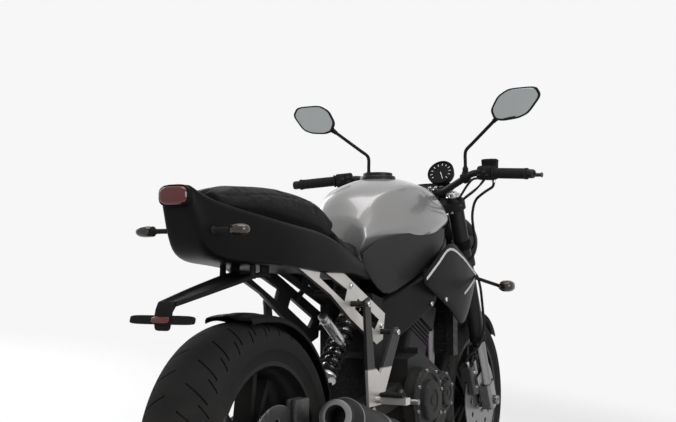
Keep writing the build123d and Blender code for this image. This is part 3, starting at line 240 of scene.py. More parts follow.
DUST, given, out = new_group("road_dust", {"Amount": 0.2, "Height": 0.55}, ["Mask"])
high = add(DUST, "SeparateXYZ", {0: spot_on(DUST)}, "Z")
low = add(DUST, "MapRange", {"Value": high, "From Min": given["Height"], "From Max": 0.0})
settled = reckon(DUST, "MULTIPLY", low, smooth_step(DUST, noise(DUST, 14.0, 8.0), 0.35, 0.7))
feed(DUST, out, {"Mask": reckon(DUST, "MULTIPLY", settled, given["Amount"])})
print("groups:", ", ".join(group.name for group in (GRAIN, WEAR, DUST)))

# %% [markdown]
# A finish is a row of a table: its colour, how it shines, how coarse its grain is, and how much wear and dust it
# carries. One function turns a row into a material. The grain feeds a bump and moves the roughness a little, the
# patches shift the colour by a few percent, the wear shows the paler stuff underneath, and the dust is a matt brown.

# %% A finish from a row of values
DUST_COLOUR = (0.30, 0.25, 0.19, 1)
BARE_METAL = (0.35, 0.34, 0.33, 1)
SMOOTH_IOR, SATIN_IOR = 1.5, 1.24


def grey(value, warm=1.0):
    return (value * warm, value, value / warm, 1)


def scaled(colour, by):
    return tuple(min(1, c * by) for c in colour[:3]) + (1,)


def place_group(tree, group, **values):
    node = tree.nodes.new("ShaderNodeGroup")
    node.node_tree = group
    feed(tree, node, values)
    return node.outputs


def finish(name, colour, rough, metal=0.0, grain=700.0, bump=0.05, vary=0.12, wear=0.0, dust=0.15, coat=0.0,
           sheen=0.0, shine=0.5):
    """Material with grain, patches, worn edges and low road dust."""
    material, tree, shader = new_material(name)
    texture = place_group(tree, GRAIN, Size=grain)
    skin = mix_colour(tree, texture["Patches"], scaled(colour, 1 - vary), scaled(colour, 1 + vary))
    if wear:
        skin = mix_colour(tree, place_group(tree, WEAR, Reach=wear)["Mask"], skin, BARE_METAL)
    if dust:
        skin = mix_colour(tree, place_group(tree, DUST, Amount=dust)["Mask"], skin, DUST_COLOUR)
    feed(tree, shader, {
        "Base Color": skin, "Metallic": metal, "Coat Weight": coat, "Coat Roughness": 0.08, "Sheen Weight": sheen,
        "Specular IOR Level": shine, "IOR": SMOOTH_IOR if shine > 0.4 else SATIN_IOR,
        "Roughness": between(tree, texture["Patches"], max(0.02, rough - 0.07), min(1.0, rough + 0.09)),
        "Normal": add(tree, "Bump", {"Strength": bump, "Distance": 0.001, "Height": texture["Grain"]})})
    return material


FINISH_TABLE = {
    "frame_black": (grey(0.010), 0.42, dict(bump=0.08, wear=0.12, dust=0.05, shine=0.22)),
    "wheel_black": (grey(0.008), 0.38, dict(bump=0.06, wear=0.2, dust=0.08, shine=0.25)),
    "casting_silver": (grey(0.44, 1.04), 0.42, dict(metal=0.75, grain=900, bump=0.25, dust=0.08)),
    "panel_black": (grey(0.004), 0.34, dict(bump=0.04, dust=0.01, shine=0.14)),
    "cover_grey": (grey(0.016), 0.46, dict(grain=1200, bump=0.1, dust=0.03, shine=0.3)),
    "trim_black": (grey(0.008), 0.62, dict(grain=1100, bump=0.3, dust=0.04, shine=0.16)),
    "engine_black": (grey(0.013), 0.48, dict(grain=800, bump=0.25, wear=0.12, dust=0.07, shine=0.22)),
    "steel": (grey(0.19), 0.36, dict(metal=1.0, grain=500, bump=0.08, dust=0.1)),
    "fork_dark": (grey(0.014), 0.32, dict(metal=0.3, bump=0.04, dust=0.04, shine=0.35)),
    "leg_steel": (grey(0.2), 0.24, dict(metal=1.0, bump=0.02, dust=0.05)),
    "caliper_black": (grey(0.02), 0.4, dict(metal=0.2, grain=900, bump=0.15, wear=0.12, dust=0.08)),
    "spring_black": (grey(0.012), 0.32, dict(bump=0.04, dust=0.06, shine=0.4)),
    "alloy": (grey(0.55), 0.26, dict(metal=1.0, grain=900, bump=0.06, dust=0.04)),
    "chain_steel": (grey(0.22, 1.06), 0.42, dict(metal=1.0, grain=500, bump=0.15, dust=0.3)),
    "tyre_rubber": (grey(0.012), 0.8, dict(grain=500, bump=0.25, vary=0.2, dust=0.1, shine=0.16)),
    "hose_rubber": (grey(0.012), 0.5, dict(grain=900, bump=0.12, dust=0.05, shine=0.3)),
    "grip_rubber": (grey(0.01), 0.68, dict(grain=900, bump=0.3, dust=0.0, shine=0.25)),
    "seat_thread": (grey(0.03), 0.7, dict(grain=2600, bump=0.5, dust=0.0, shine=0.2)),
    "mirror_silver": ((0.33, 0.345, 0.35, 1), 0.09, dict(metal=1.0, grain=30, bump=0.0, vary=0.1, dust=0.0)),
    "display_glass": (grey(0.006), 0.12, dict(grain=200, bump=0.0, dust=0.0)),
    "pale_mark": (grey(0.55), 0.5, dict(grain=400, bump=0.02, dust=0.0)),
}
FINISHES = {name: finish(name, colour, rough, **more) for name, (colour, rough, more) in FINISH_TABLE.items()}
print("plain finishes:", len(FINISHES))

# %% [markdown]
# Some surfaces need more than a row: lacquer over metal flake, vinyl with a leather grain, the blued and straw
# coloured steel of the headers, and the lenses. Each has its own short function, which changes a plain finish.

# %% Lacquer, vinyl, heated steel, glass
def change(material, label, value):
    """Another value or link for one socket of a finished material."""
    feed(material.node_tree, material.node_tree.nodes["Principled BSDF"], {label: value})
    return material


def metallic_lacquer(name, colour):
    """Clear coat over a grey metal flake."""
    material = finish(name, colour, 0.36, metal=0.55, grain=2600, bump=0.02, vary=0.05, dust=0.0, coat=0.7)
    tree = material.node_tree
    flake = add(tree, "TexVoronoi", {"Vector": spot_on(tree), "Scale": 2200.0}, "Distance")
    glint = add(tree, "MapRange", {"Value": flake, "From Max": 0.9, "To Min": 0.22, "To Max": 0.46})
    return change(material, "Roughness", glint)


def seat_vinyl(name, colour):
    """Black vinyl with a leather grain of small cells."""
    material = finish(name, colour, 0.55, grain=300, bump=0.0, vary=0.15, dust=0.0, sheen=0.03, shine=0.16)
    tree = material.node_tree
    cells = add(tree, "TexVoronoi", {"Vector": spot_on(tree), "Scale": 420.0}, "Distance", feature="DISTANCE_TO_EDGE")
    valley = smooth_step(tree, cells, 0.0, 0.12)
    return change(material, "Normal", add(tree, "Bump", {"Strength": 0.35, "Distance": 0.0006, "Height": valley}))


def heated_steel(name, hot_place, reach):
    """Stainless steel, blue to straw near the cylinder head and plain further on."""
    material = finish(name, grey(0.34, 1.03), 0.3, metal=1.0, grain=420, bump=0.06, dust=0.12)
    tree = material.node_tree
    gap = add(tree, "VectorMath", {0: spot_on(tree), 1: hot_place}, "Value", operation="DISTANCE")
    tint = tree.nodes.new("ShaderNodeValToRGB")
    feed(tree, tint, {"Fac": add(tree, "MapRange", {"Value": gap, "From Max": reach})})
    tint.color_ramp.elements[0].color = (0.11, 0.115, 0.14, 1)
    tint.color_ramp.elements[1].color = (0.33, 0.31, 0.28, 1)
    for where, colour in ((0.35, (0.19, 0.155, 0.165, 1)), (0.6, (0.30, 0.25, 0.18, 1))):
        tint.color_ramp.elements.new(where).color = colour
    return change(material, "Base Color", tint.outputs["Color"])


def see_through(name, colour, rough=0.05, through=1.0):
    """Clear or coloured lens."""
    material, tree, shader = new_material(name)
    patches = place_group(tree, GRAIN, Size=60.0)["Patches"]
    feed(tree, shader, {"Transmission Weight": through, "Roughness": rough, "IOR": 1.49,
                        "Base Color": mix_colour(tree, patches, scaled(colour, 0.93), colour)})
    return material


FINISHES["tank_grey"] = metallic_lacquer("tank_grey", (0.175, 0.172, 0.17, 1))
FINISHES["seat_vinyl"] = seat_vinyl("seat_vinyl", grey(0.005))
FINISHES["exhaust_steel"] = heated_steel("exhaust_steel", PARK @ (Vector((940, 0, 600)) * MM), 0.75)
FINISHES["lamp_glass"] = see_through("lamp_glass", (0.95, 0.97, 0.98, 1))
FINISHES["tail_red"] = see_through("tail_red", (0.06, 0.002, 0.003, 1), 0.12, 0.1)
FINISHES["signal_smoke"] = see_through("signal_smoke", (0.014, 0.008, 0.005, 1), 0.15, 0.1)
print("finishes:", len(FINISHES))

# %% [markdown]
# The engineered pieces that keep their shape take their finish from the slot that the record names for them. Their
# edges get a small bevel as a live modifier, because light catches every real edge: the loose triangles are welded
# first, and then only sharp corners are rounded. Two castings are silver on one part and dark on the other. On the
# footrest bracket that is two-tone paint, silver below and black above. On the subframe the outer faces are silver
# and the inner faces are black, which is painted shade: it darkens the far casting, which lies in shade under the tail.

# %% Finish the engineered pieces
EDGE_ROUND = 1.2 * MM
WELD_GAP = 0.00002


def dress(name, material=None):
    """Gives a piece of the frame its finish and soft edges."""
    piece = nodes[name]
    slot = next(row["material_slot"] for row in frame["record"]["subparts"] if row["node"] == name)
    piece.data.materials.clear()
    piece.data.materials.append(material or FINISHES[slot])
    piece.modifiers.new("weld", "WELD").merge_threshold = WELD_GAP
    bevel = piece.modifiers.new("edges", "BEVEL")
    bevel.width = EDGE_ROUND
    bevel.segments = 2
    bevel.limit_method = "ANGLE"
    bevel.angle_limit = radians(40)
    bevel.harden_normals = False


def two_tone_and_painted_shade(name, first, second, way, low, high):
    """First finish up to a distance along a way on the upright machine, second beyond it, or the other way round:
    two-tone paint on one piece, painted shade on the inner faces of another.
    """
    material = FINISHES[first].copy()
    material.name = name
    tree = material.node_tree
    pale, dark = (FINISHES[word].node_tree.nodes["Principled BSDF"].inputs["Metallic"].default_value
                  for word in (first, second))
    way = PARK.to_3x3() @ Vector(way)
    along = add(tree, "VectorMath", {0: spot_on(tree), 1: way}, "Value", operation="DOT_PRODUCT")
    off = reckon(tree, "ABSOLUTE", reckon(tree, "SUBTRACT", along, way.dot(PARK.translation)))
    step = smooth_step(tree, off, low * MM, high * MM)
    shader = tree.nodes["Principled BSDF"]
    base = shader.inputs["Base Color"].links[0].from_socket
    feed(tree, shader, {"Base Color": mix_colour(tree, step, base, grey(0.01)),
                        "Metallic": between(tree, step, pale, dark),
                        "Specular IOR Level": between(tree, step, 0.5, 0.2)})
    return material


for name in nodes:
    dress(name)
dress("footrests", two_tone_and_painted_shade("bracket_paint", "casting_silver", "frame_black", (0, 0, 1), 486, 492))
# The subframe is silver on its outer faces and black on its inner faces and window walls; the black is painted shade
# for the far casting, which lies in shade under the tail.
dress("subframe", two_tone_and_painted_shade("casting_paint", "casting_silver", "frame_black", (0, 1, 0), 109.4, 108.4))
print("dressed", len(nodes), "engineered pieces")

# %% [markdown]
# ## Making a piece
# Nearly every panel on a motorcycle is a skin over a row of cross sections. By hand one would draw the first outline
# as a filled circle, extrude it to the next station, move its points, and go on. The helpers below do just that. A
# table gives a few stations, a smooth curve through them gives the ones in between, and the finished piece is
# carried from the upright machine to the parked one by the matrix from the start.

# %% Helpers to draw and shape a piece
SIDES = ((1, "left"), (-1, "right"))
DOUBLES = 0.00001


def at(x, y, z):
    """A place on the upright machine, from millimetres."""
    return Vector((x, y, z)) * MM


def activate(*pieces):
    """Only these are selected, so that an operator acts on them alone; the first one is active."""
    if bpy.context.object and bpy.context.object.mode != "OBJECT":
        leave()
    bpy.ops.object.select_all(action="DESELECT")
    for piece in pieces:
        piece.select_set(True)
    if pieces:
        bpy.context.view_layer.objects.active = pieces[0]


def edit(piece):
    activate(piece)
    bpy.ops.object.mode_set(mode="EDIT")


def leave():
    bpy.ops.object.mode_set(mode="OBJECT")


def apply(piece, kind, **values):
    """Adds a modifier and applies it at once."""
    activate(piece)
    modifier = piece.modifiers.new(kind.lower(), kind)
    for label, value in values.items():
        setattr(modifier, label, value)
    bpy.ops.object.modifier_apply(modifier=modifier.name)


def subdivide(piece, levels=1):
    apply(piece, "SUBSURF", levels=levels, render_levels=levels)


def soften(piece, width, angle):
    """Rounds the edges that are sharper than an angle."""
    apply(piece, "BEVEL", width=width * MM, segments=2, limit_method="ANGLE", angle_limit=radians(angle))


def close_skin(gap=DOUBLES):
    """In edit mode: doubles merged, faces turned outwards."""
    bpy.ops.mesh.select_all(action="SELECT")
    bpy.ops.mesh.remove_doubles(threshold=gap)
    bpy.ops.mesh.normals_make_consistent(inside=False)


def move_face(piece, points, known=None):
    """Moves the selected face's corners onto the points; known says where each one was."""
    drawn_mesh = bmesh.from_edit_mesh(piece.data)
    corners = [loop.vert for loop in next(f for f in drawn_mesh.faces if f.select).loops]
    for i, vert in enumerate(corners):
        if known:
            i = min(range(len(known)), key=lambda k: (known[k] - vert.co).length_squared)
        vert.co = points[i]
    bmesh.update_edit_mesh(piece.data)


def loft(name, stations):
    """Closed skin: a filled circle, extruded from station to station. Each station is a list of places."""
    activate()
    bpy.ops.mesh.primitive_circle_add(vertices=len(stations[0]), radius=0.1, fill_type="NGON")
    piece = bpy.context.object
    piece.name = name
    bpy.ops.object.mode_set(mode="EDIT")
    bpy.ops.mesh.select_mode(type="FACE")
    move_face(piece, stations[0])
    for known, station in zip(stations, stations[1:]):
        bpy.ops.mesh.extrude_region_move(TRANSFORM_OT_translate={"value": (0, 0, 0)})
        move_face(piece, station, known)
    close_skin()
    leave()
    return piece


def smooth_rows(rows, steps):
    """Rows in between the given ones, on a smooth curve through them."""
    finer = []
    for i in range(len(rows) - 1):
        before, start, end, after = rows[max(i - 1, 0)], rows[i], rows[i + 1], rows[min(i + 2, len(rows) - 1)]
        for t in (step / steps for step in range(steps)):
            finer.append(tuple(
                0.5 * (2 * b + (c - a) * t + (2 * a - 5 * b + 4 * c - d) * t ** 2 + (3 * b - a - 3 * c + d) * t ** 3)
                for a, b, c, d in zip(before, start, end, after)))
    return finer + [tuple(rows[-1])]


def section(x, half):
    """Closed outline across the machine from its left half, which runs from the bottom centre to the top centre."""
    return [at(x, y, z) for y, z in half + [(-y, z) for y, z in reversed(half) if abs(y) > 0.01]]


def rounded_ends(stations, shrink, reach):
    """Adds a smaller outline just outside the first and the last, so that the ends turn in softly."""
    def end(ring, inner):
        middle = sum(ring, Vector()) / len(ring)
        away = (middle - sum(inner, Vector()) / len(inner)).normalized() * reach * MM
        return [middle + (p - middle) * shrink + away for p in ring]
    return [end(stations[0], stations[1])] + stations + [end(stations[-1], stations[-2])]


def skin(name, outline, table, shrink, reach):
    """Skin over a table of stations."""
    return loft(name, rounded_ends([outline(*row) for row in smooth_rows(table, 4)], shrink, reach))


print("helpers to draw a skin: loft, smooth_rows, section, rounded_ends")

# %% [markdown]
# A finished piece is settled: parked, smoothed, given the finish of a named slot or one passed in, and tied to the
# body that it moves with.


def settle(piece, body, slot, material=None, angle=40):
    activate(piece)
    piece.matrix_world = PARK @ piece.matrix_world
    bpy.ops.object.transform_apply(location=True, rotation=True, scale=True)
    bpy.ops.object.shade_smooth_by_angle(angle=radians(angle))
    piece.data.materials.clear()
    piece.data.materials.append(material or FINISHES[slot])
    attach(piece, body)
    print(piece.name, "rides on", body + ",", len(piece.data.polygons), "faces")
    return piece


# %% [markdown]
# Small fittings are round, bent round, cut from plate, or repeated. A turned piece is a skin over hoops along a
# straight line, a hose is one along a curve, and a plate is an outline with two ends. A bolt is modelled once, head
# up at zero, and stamped wherever the machine has one, each copy with its own mesh, and the copies are joined.

# %% Helpers for round, flat and repeated pieces
ASIDE = Vector((0, 1, 0))
FORWARD = Vector((1, 0, 0))
UPWARD = Vector((0, 0, 1))
HALF_SIX = 0.866  # half width of a hexagon whose corners lie at 1


def squared(side, way):
    """A direction turned square to a way."""
    return (side - way * side.dot(way)).normalized()


def turns(count, start=0.0):
    return [2 * pi * (k + start) / count for k in range(count)]


def spoke(turn):
    """Direction in the machine's side view."""
    return Vector((cos(turn), 0, sin(turn)))


def hoop(centre, way, radius, count=20, across=None):
    """Circle of places about a centre, square to a way, with its radius in millimetres."""
    side = squared(across or way.orthogonal(), way)
    up = way.cross(side)
    return [centre + (side * cos(turn) + up * sin(turn)) * radius * MM for turn in turns(count)]


def oval(centre, across, up, wide, high, count=24, square=3.2):
    """Rounded rectangle of places about a centre; a larger square gives tighter corners."""
    ring = []
    for c, s in ((cos(turn), sin(turn)) for turn in turns(count, 0.5)):
        ring.append(centre + across * abs(c) ** (2 / square) * (1 if c > 0 else -1) * wide * MM
                    + up * abs(s) ** (2 / square) * (1 if s > 0 else -1) * high * MM)
    return ring


def lathe(name, start, way, profile, count=28):
    """Round piece about a line: profile is rows of (distance along the line, radius)."""
    way = Vector(way).normalized()
    return loft(name, [hoop(start + way * along * MM, way, max(radius, 0.3), count) for along, radius in profile])


def stack(name, middle, way, across, up, rows, count=24, square=3.2):
    """Piece of rounded rectangles along a way: rows are (distance, half width, half height)."""
    return loft(name, [oval(middle + way * d * MM, across, up, w, h, count, square) for d, w, h in rows])


def ways_along(route):
    """Direction of a route at each of its places."""
    return [(route[min(i + 1, len(route) - 1)] - route[max(i - 1, 0)]).normalized() for i in range(len(route))]


def pipe(name, points, radius, count=12, steps=6):
    """Hose or wire through a few places on the upright machine, in millimetres."""
    route = [at(*p) for p in smooth_rows([tuple(p) for p in points], steps)]
    rings = []
    side = None
    for place, way in zip(route, ways_along(route)):
        side = squared(side or way.orthogonal(), way)
        rings.append(hoop(place, way, radius, count, side))
    return loft(name, rings)


def plate(name, outline, low, high, round_by=1.5):
    """Plate from an outline of (x, z), between two distances from the middle, with rounded edges."""
    piece = loft(name, [[at(x, y, z) for x, z in outline] for y in (low, high)])
    if round_by:
        soften(piece, round_by, 35)
    return piece


def brick(name, low, high, round_by=2):
    """Block between two corners with rounded edges."""
    (x0, y0, z0), (x1, y1, z1) = low, high
    return plate(name, [(x0, z0), (x1, z0), (x1, z1), (x0, z1)], y0, y1, round_by)


def twin(source):
    """Copy with its own mesh."""
    copy = source.copy()
    copy.data = source.data.copy()
    bpy.context.collection.objects.link(copy)
    return copy


def gather(name, pieces):
    """Several objects joined into one."""
    activate(*pieces)
    if len(pieces) > 1:
        bpy.ops.object.join()
    pieces[0].name = name
    return pieces[0]


def stamp(name, source, spots):
    """Copies of a piece that stands at zero with its head up, one at each (place, way), joined."""
    made = []
    for place, way in spots:
        made.append(twin(source))
        made[-1].data.transform(Matrix.Translation(place) @ Vector(way).to_track_quat("Z", "Y").to_matrix().to_4x4())
    bpy.data.objects.remove(source)
    return gather(name, made)


def hexed(ring, lift):
    """Every other place of a hoop about the upright axis drawn in, which makes it a hexagon."""
    return [p if i % 2 == 0 else (p - lift) * HALF_SIX + lift for i, p in enumerate(ring)]


def socket_bolt(radius, high):
    """Round bolt head with a hexagon socket."""
    rings = [hoop(at(0, 0, z), UPWARD, r, 12) for z, r in ((-1, radius), (high - 0.8, radius), (high, radius * 0.88))]
    rings += [hexed(hoop(at(0, 0, z), UPWARD, radius * 0.58, 12), at(0, 0, z)) for z in (high, high * 0.4)]
    return loft("bolt", rings)


def hex_nut(radius, high, hole=0.5):
    """Hexagon head or nut with a chamfer and a hollow."""
    rings = [hexed(hoop(at(0, 0, z), UPWARD, radius, 12), at(0, 0, z)) for z in (-1, high - 1)]
    rings += [hoop(at(0, 0, z), UPWARD, radius * r, 12) for z, r in ((high, 0.86), (high, hole), (high * 0.5, hole))]
    return loft("nut", rings)


print("helpers for fittings: lathe, stack, pipe, plate, brick, gather, stamp")

# %% [markdown]
# Much of the front turns with the fork, so it is placed along the steering axis rather than by height.

# %% Places along the fork
RAKE = radians(25)
STEER_FOOT = Vector((WHEELBASE + 100, 0, 0))
UP_FORK = Vector((-sin(RAKE), 0, cos(RAKE)))
AHEAD_FORK = Vector((cos(RAKE), 0, sin(RAKE)))


def along_fork(s, x, y):
    """Place at a distance s up the steering axis, x ahead of it and y to the left, in millimetres."""
    return STEER_FOOT + UP_FORK * s + AHEAD_FORK * x + ASIDE * y


print("steering axis meets the ground at x", round(STEER_FOOT.x), "mm")

# %% [markdown]
# ## Fuel tank
# The tank is pressed steel: a broad crown, a sharp shoulder that runs from the seat to the headstock, a flank that
# rolls under at a crease, and knee hollows at the back. It is a skin over six stations with an outline of twelve
# points a side. The shoulder and the crease stay crisp because two points lie close together there.

# %% Fuel tank
TANK_STATIONS = [  # x, floor y z, crease y z, shoulder y z, crown z
    (505, 60, 792, 84, 850, 62, 894, 912), (560, 84, 730, 104, 868, 82, 962, 984),
    (700, 100, 742, 148, 890, 112, 1008, 1034), (850, 104, 806, 166, 905, 118, 1014, 1044),
    (970, 80, 880, 148, 925, 98, 1002, 1030), (1030, 45, 915, 92, 940, 60, 985, 1000)]


def tank_outline(x, fy, fz, cy, cz, sy, sz, top):
    return section(x, [(0, fz), (fy * 0.7, fz), (fy, fz + 3), (cy - 8, cz - 24), (cy - 1, cz - 7), (cy, cz),
                       (cy - 4, cz + 12), ((cy + sy) / 2 + 6, (cz + sz) / 2 + 4), (sy + 5, sz - 7), (sy, sz),
                       (sy * 0.82, sz + 7), (sy * 0.45, top - 4), (0, top)])


tank = skin("tank_skin", tank_outline, TANK_STATIONS, 0.92, 3)
subdivide(tank)
settle(tank, "frame", "tank_grey", angle=60)
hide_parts("fuel_tank")

# %% Ring that the cap shuts on, with the two lugs and the pin of its hinge
boss = lathe("boss", at(760, 0, 1006), UPWARD,
             [(0, 30), (0, 56), (30, 55), (37, 54), (39, 52), (39, 34), (36, 32.5), (30, 32)], 48)
pin = lathe("pin", at(812, -15.6, 1052), ASIDE, [(0, 1.5), (0.5, 2), (30.7, 2), (31.2, 1.5)], 12)
LUG = [(800, 1030), (824, 1030), (817, 1050), (815, 1056), (809, 1056), (807, 1050)]
lugs = [plate("lug", LUG, low, low + 6, 1) for low in (9, -15)]
settle(gather("filler_ring", [boss, pin] + lugs), "frame", "fork_dark")

# %% [markdown]
# ## Side covers and shrouds
# Two thin panels a side. The cover closes the gap between seat, tank and frame; the shroud runs forward beside the
# radiator and ends in a point. Both are curved sheets: a grid whose rows follow a table, given its wall afterwards.

# %% Thin panels
SIDE_COVER_STATIONS = [  # x, top y z, low y z
    (455, 100, 800, 98, 770), (560, 116, 846, 114, 690), (690, 138, 866, 130, 720), (830, 150, 880, 144, 776),
    (940, 146, 890, 142, 842)]
SHROUD_STATIONS = [
    (700, 178, 742, 178, 718), (885, 186, 838, 184, 640), (985, 186, 815, 184, 590), (1062, 182, 785, 180, 628),
    (1166, 168, 752, 168, 736)]
PANEL_WALL = 5


def sheet(name, rows, wall, outward):
    """Grid of places made a plate: rows is a list of rows of places."""
    activate()
    across = len(rows[0])
    bpy.ops.mesh.primitive_grid_add(x_subdivisions=across - 1, y_subdivisions=len(rows) - 1, size=1)
    piece = bpy.context.object
    piece.name = name
    for i, vert in enumerate(piece.data.vertices):
        vert.co = rows[i // across][i % across]
    bulk = sum((p.normal * p.area for p in piece.data.polygons), Vector())
    if bulk.dot(Vector(outward)) < 0:
        edit(piece)
        bpy.ops.mesh.select_all(action="SELECT")
        bpy.ops.mesh.flip_normals()
        leave()
    apply(piece, "SOLIDIFY", thickness=wall * MM, offset=-1.0)
    return piece


def panel_row(side, bulge, x, ty, tz, ly, lz):
    """Places from the low edge to the top edge, bowed outwards between them."""
    row = []
    for t in (step / 8 for step in range(9)):
        out = ly + (ty - ly) * t + bulge * sin(pi * t) * min(1, (tz - lz) / 80)
        row.append(at(x, side * out, lz + (tz - lz) * t))
    return row


for table, name, bulge, slot, node in ((SIDE_COVER_STATIONS, "side_cover_", 3, "cover_grey", "side_covers"),
                                       (SHROUD_STATIONS, "shroud_", 5, "panel_black", "radiator_shrouds")):
    for side, hand in SIDES:
        rows = [panel_row(side, bulge, *row) for row in smooth_rows(table, 4)]
        panel = sheet(name + hand, rows, PANEL_WALL, (0, side, 0))
        soften(panel, 1.2, 50)
        settle(panel, "frame", slot, angle=50)
        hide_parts(node)

# %% [markdown]
# ## Tail
# The tail is one long shell that carries the pillion seat. It is nearly straight along its top, drops into the
# dark panel over the rear tyre, and ends in the face that holds the tail light.

# %% Tail cowl
TAIL_STATIONS = [  # x, upper y z, lower y z
    (-262, 41, 935, 36, 876), (-190, 64, 904, 60, 780), (20, 112, 868, 114, 760),
    (200, 122, 846, 126, 745), (330, 124, 806, 126, 743), (450, 112, 776, 114, 728)]


def tail_outline(x, uy, uz, ly, lz):
    return section(x, [(0, lz), (ly * 0.6, lz), (ly - 5, lz + 1), (ly, lz + 6), ((uy + ly) / 2 + 4, (uz + lz) / 2),
                       (uy, uz - 6), (uy - 5, uz), (uy * 0.6, uz + 2), (0, uz + 2)])


tail = skin("tail_shell", tail_outline, TAIL_STATIONS, 0.85, 4)
subdivide(tail)
settle(tail, "frame", "panel_black", angle=50)
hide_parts("tail_cowl")

# %% [markdown]
# ## Seats
# Both seats are moulded foam under vinyl. They start as skins over stations, crowned across. A cloth simulation
# with pressure inside then swells them as foam swells its cover, and the sewn channels are pressed in afterwards.

# %% Seats as skins
RIDER_SEAT_STATIONS = [  # x, base y z, edge y z, crest z
    (298, 88, 795, 103, 846, 878), (350, 92, 780, 107, 826, 841), (420, 84, 774, 93, 810, 823),
    (502, 48, 786, 58, 818, 831)]
PILLION_STATIONS = [
    (-172, 47, 888, 55, 914, 931), (-60, 60, 882, 79, 924, 942), (60, 76, 872, 93, 930, 946),
    (200, 85, 852, 101, 915, 936), (288, 88, 840, 98, 876, 889)]


def seat_outline(x, by, bz, ey, ez, top):
    return section(x, [(0, bz), (by * 0.6, bz), (by, bz), ((by + ey) / 2 + 1, (bz + ez) / 2), (ey, ez - 8),
                       (ey - 2, ez + 2), (ey * 0.82, (ez + top) / 2), (ey * 0.5, top - 3), (0, top)])


print("seat stations:", len(RIDER_SEAT_STATIONS), "and", len(PILLION_STATIONS))

# %% Helpers to swell a pad and sew it
VOXEL, PRESSURE, MOST_SWELL = 5, 4, 8
CLOTH_FRAMES = 20
SEAM_DEPTH, SEAM_WIDTH = 2.4, 3.5


def swell(pad):
    """Foam under a stretched cover: the pad's skin is remeshed, blown up as cloth, and held to a small move."""
    apply(pad, "REMESH", mode="VOXEL", voxel_size=VOXEL * MM)
    start = [vert.co.copy() for vert in pad.data.vertices]
    held = pad.vertex_groups.new(name="base")
    held.add([i for i, vert in enumerate(pad.data.vertices) if vert.normal.z < -0.7], 1.0, "REPLACE")
    cloth = pad.modifiers.new("swell", "CLOTH")
    cloth.settings.use_pressure = True
    cloth.settings.uniform_pressure_force = PRESSURE
    cloth.settings.effector_weights.gravity = 0
    cloth.settings.vertex_group_mass = held.name
    cloth.settings.quality = 5
    for step in range(1, CLOTH_FRAMES + 1):
        bpy.context.scene.frame_set(step)
    activate(pad)
    bpy.ops.object.modifier_apply(modifier=cloth.name)
    bpy.context.scene.frame_set(1)
    most = 0
    for vert, old in zip(pad.data.vertices, start):
        move = vert.co - old
        if move.length > MOST_SWELL * MM:
            move *= MOST_SWELL * MM / move.length
        vert.co = old + move
        most = max(most, move.length / MM)
    subdivide(pad)
    print(pad.name, "swells by up to", round(most, 1), "mm")


def skin_tree(piece):
    """The piece's faces, for rays to be cast at."""
    places = [vert.co.copy() for vert in piece.data.vertices]
    return BVHTree.FromPolygons(places, [face.vertices[:] for face in piece.data.polygons])


def seam_lines(pad, stations, crosses, edge=0.84):
    """Two seams along the pad, near its edges, and the ones across it, dropped onto it from above."""
    fine = smooth_rows(stations, 40)
    drawn_lines = [[(row[0], side * row[3] * edge) for row in fine[6:-6]] for side in (1, -1)]
    for x in crosses:
        reach = min(fine, key=lambda row: abs(row[0] - x))[3] * edge
        steps = int(reach)
        shares = [k / steps for k in range(-steps, steps + 1)]
        drawn_lines.append([(x + 8 * (1 - t * t), reach * t) for t in shares])
    tree = skin_tree(pad)
    hits = [[tree.ray_cast(at(x, y, 1200), -UPWARD)[0] for x, y in line] for line in drawn_lines]
    return [[hit for hit in line if hit is not None] for line in hits]


def sew(pad, lines):
    """Presses a sewn channel along each line of the pad."""
    places = [p for line in lines for p in line]
    tree = KDTree(len(places))
    for i, place in enumerate(places):
        tree.insert(place, i)
    tree.balance()
    for vert in pad.data.vertices:
        gap = tree.find(vert.co)[2] / MM
        if gap < 3 * SEAM_WIDTH:
            vert.co -= vert.normal * SEAM_DEPTH * exp(-(gap / SEAM_WIDTH) ** 2) * MM
    pad.data.update()


def stitches(name, lines, apart=6.0):
    """A row of short threads along each seam, lifted a little off it."""
    spots = []
    for line in lines:
        run = 0
        for a, b in zip(line, line[1:]):
            run += (b - a).length / MM
            if run >= apart and (b - a).length > 0:
                spots.append((b + at(0, 0, 0.4), (b - a).normalized()))
                run = 0
    rows = ((-2, 0.3), (-1.3, 0.6), (1.3, 0.6), (2, 0.3))
    return stamp(name, loft("thread", [hoop(at(0, 0, z), UPWARD, r, 6) for z, r in rows]), spots)


print("helpers for seats: swell, seam_lines, sew, stitches")

# %% Swell and sew both seats
for name, stations, node, crosses in (("rider_cushion", RIDER_SEAT_STATIONS, "rider_seat", (330, 470)),
                                      ("pillion_cushion", PILLION_STATIONS, "pillion_seat", (-96, 70, 250))):
    pad = skin(name, seat_outline, stations, 0.86, 4)
    swell(pad)
    lines = seam_lines(pad, stations, crosses)
    sew(pad, lines)
    threads = stitches(name + "_stitches", lines)
    settle(pad, "frame", "seat_vinyl", angle=70)
    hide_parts(node)
    settle(threads, "frame", "seat_vinyl", FINISHES["seat_thread"])

# %% [markdown]
# ## Tyres
# A road tyre is round across and has slanted grooves cut a few millimetres deep, the same few grooves again and
# again. So one sector is drawn flat as a grid, its groove faces are pressed in, and it is wrapped and copied round
# the wheel. The copies are merged into one ring of rubber.

# %% Tyre with a cut tread
BEAD_R = 216
SECTORS = 30
ALONG = 10  # faces along one sector
CROWN_STEPS = 28
GROOVE_DEPTH = 4.5
FRONT_CENTRE = at(WHEELBASE, 0, FRONT_R)
REAR_CENTRE = at(0, 0, REAR_R)


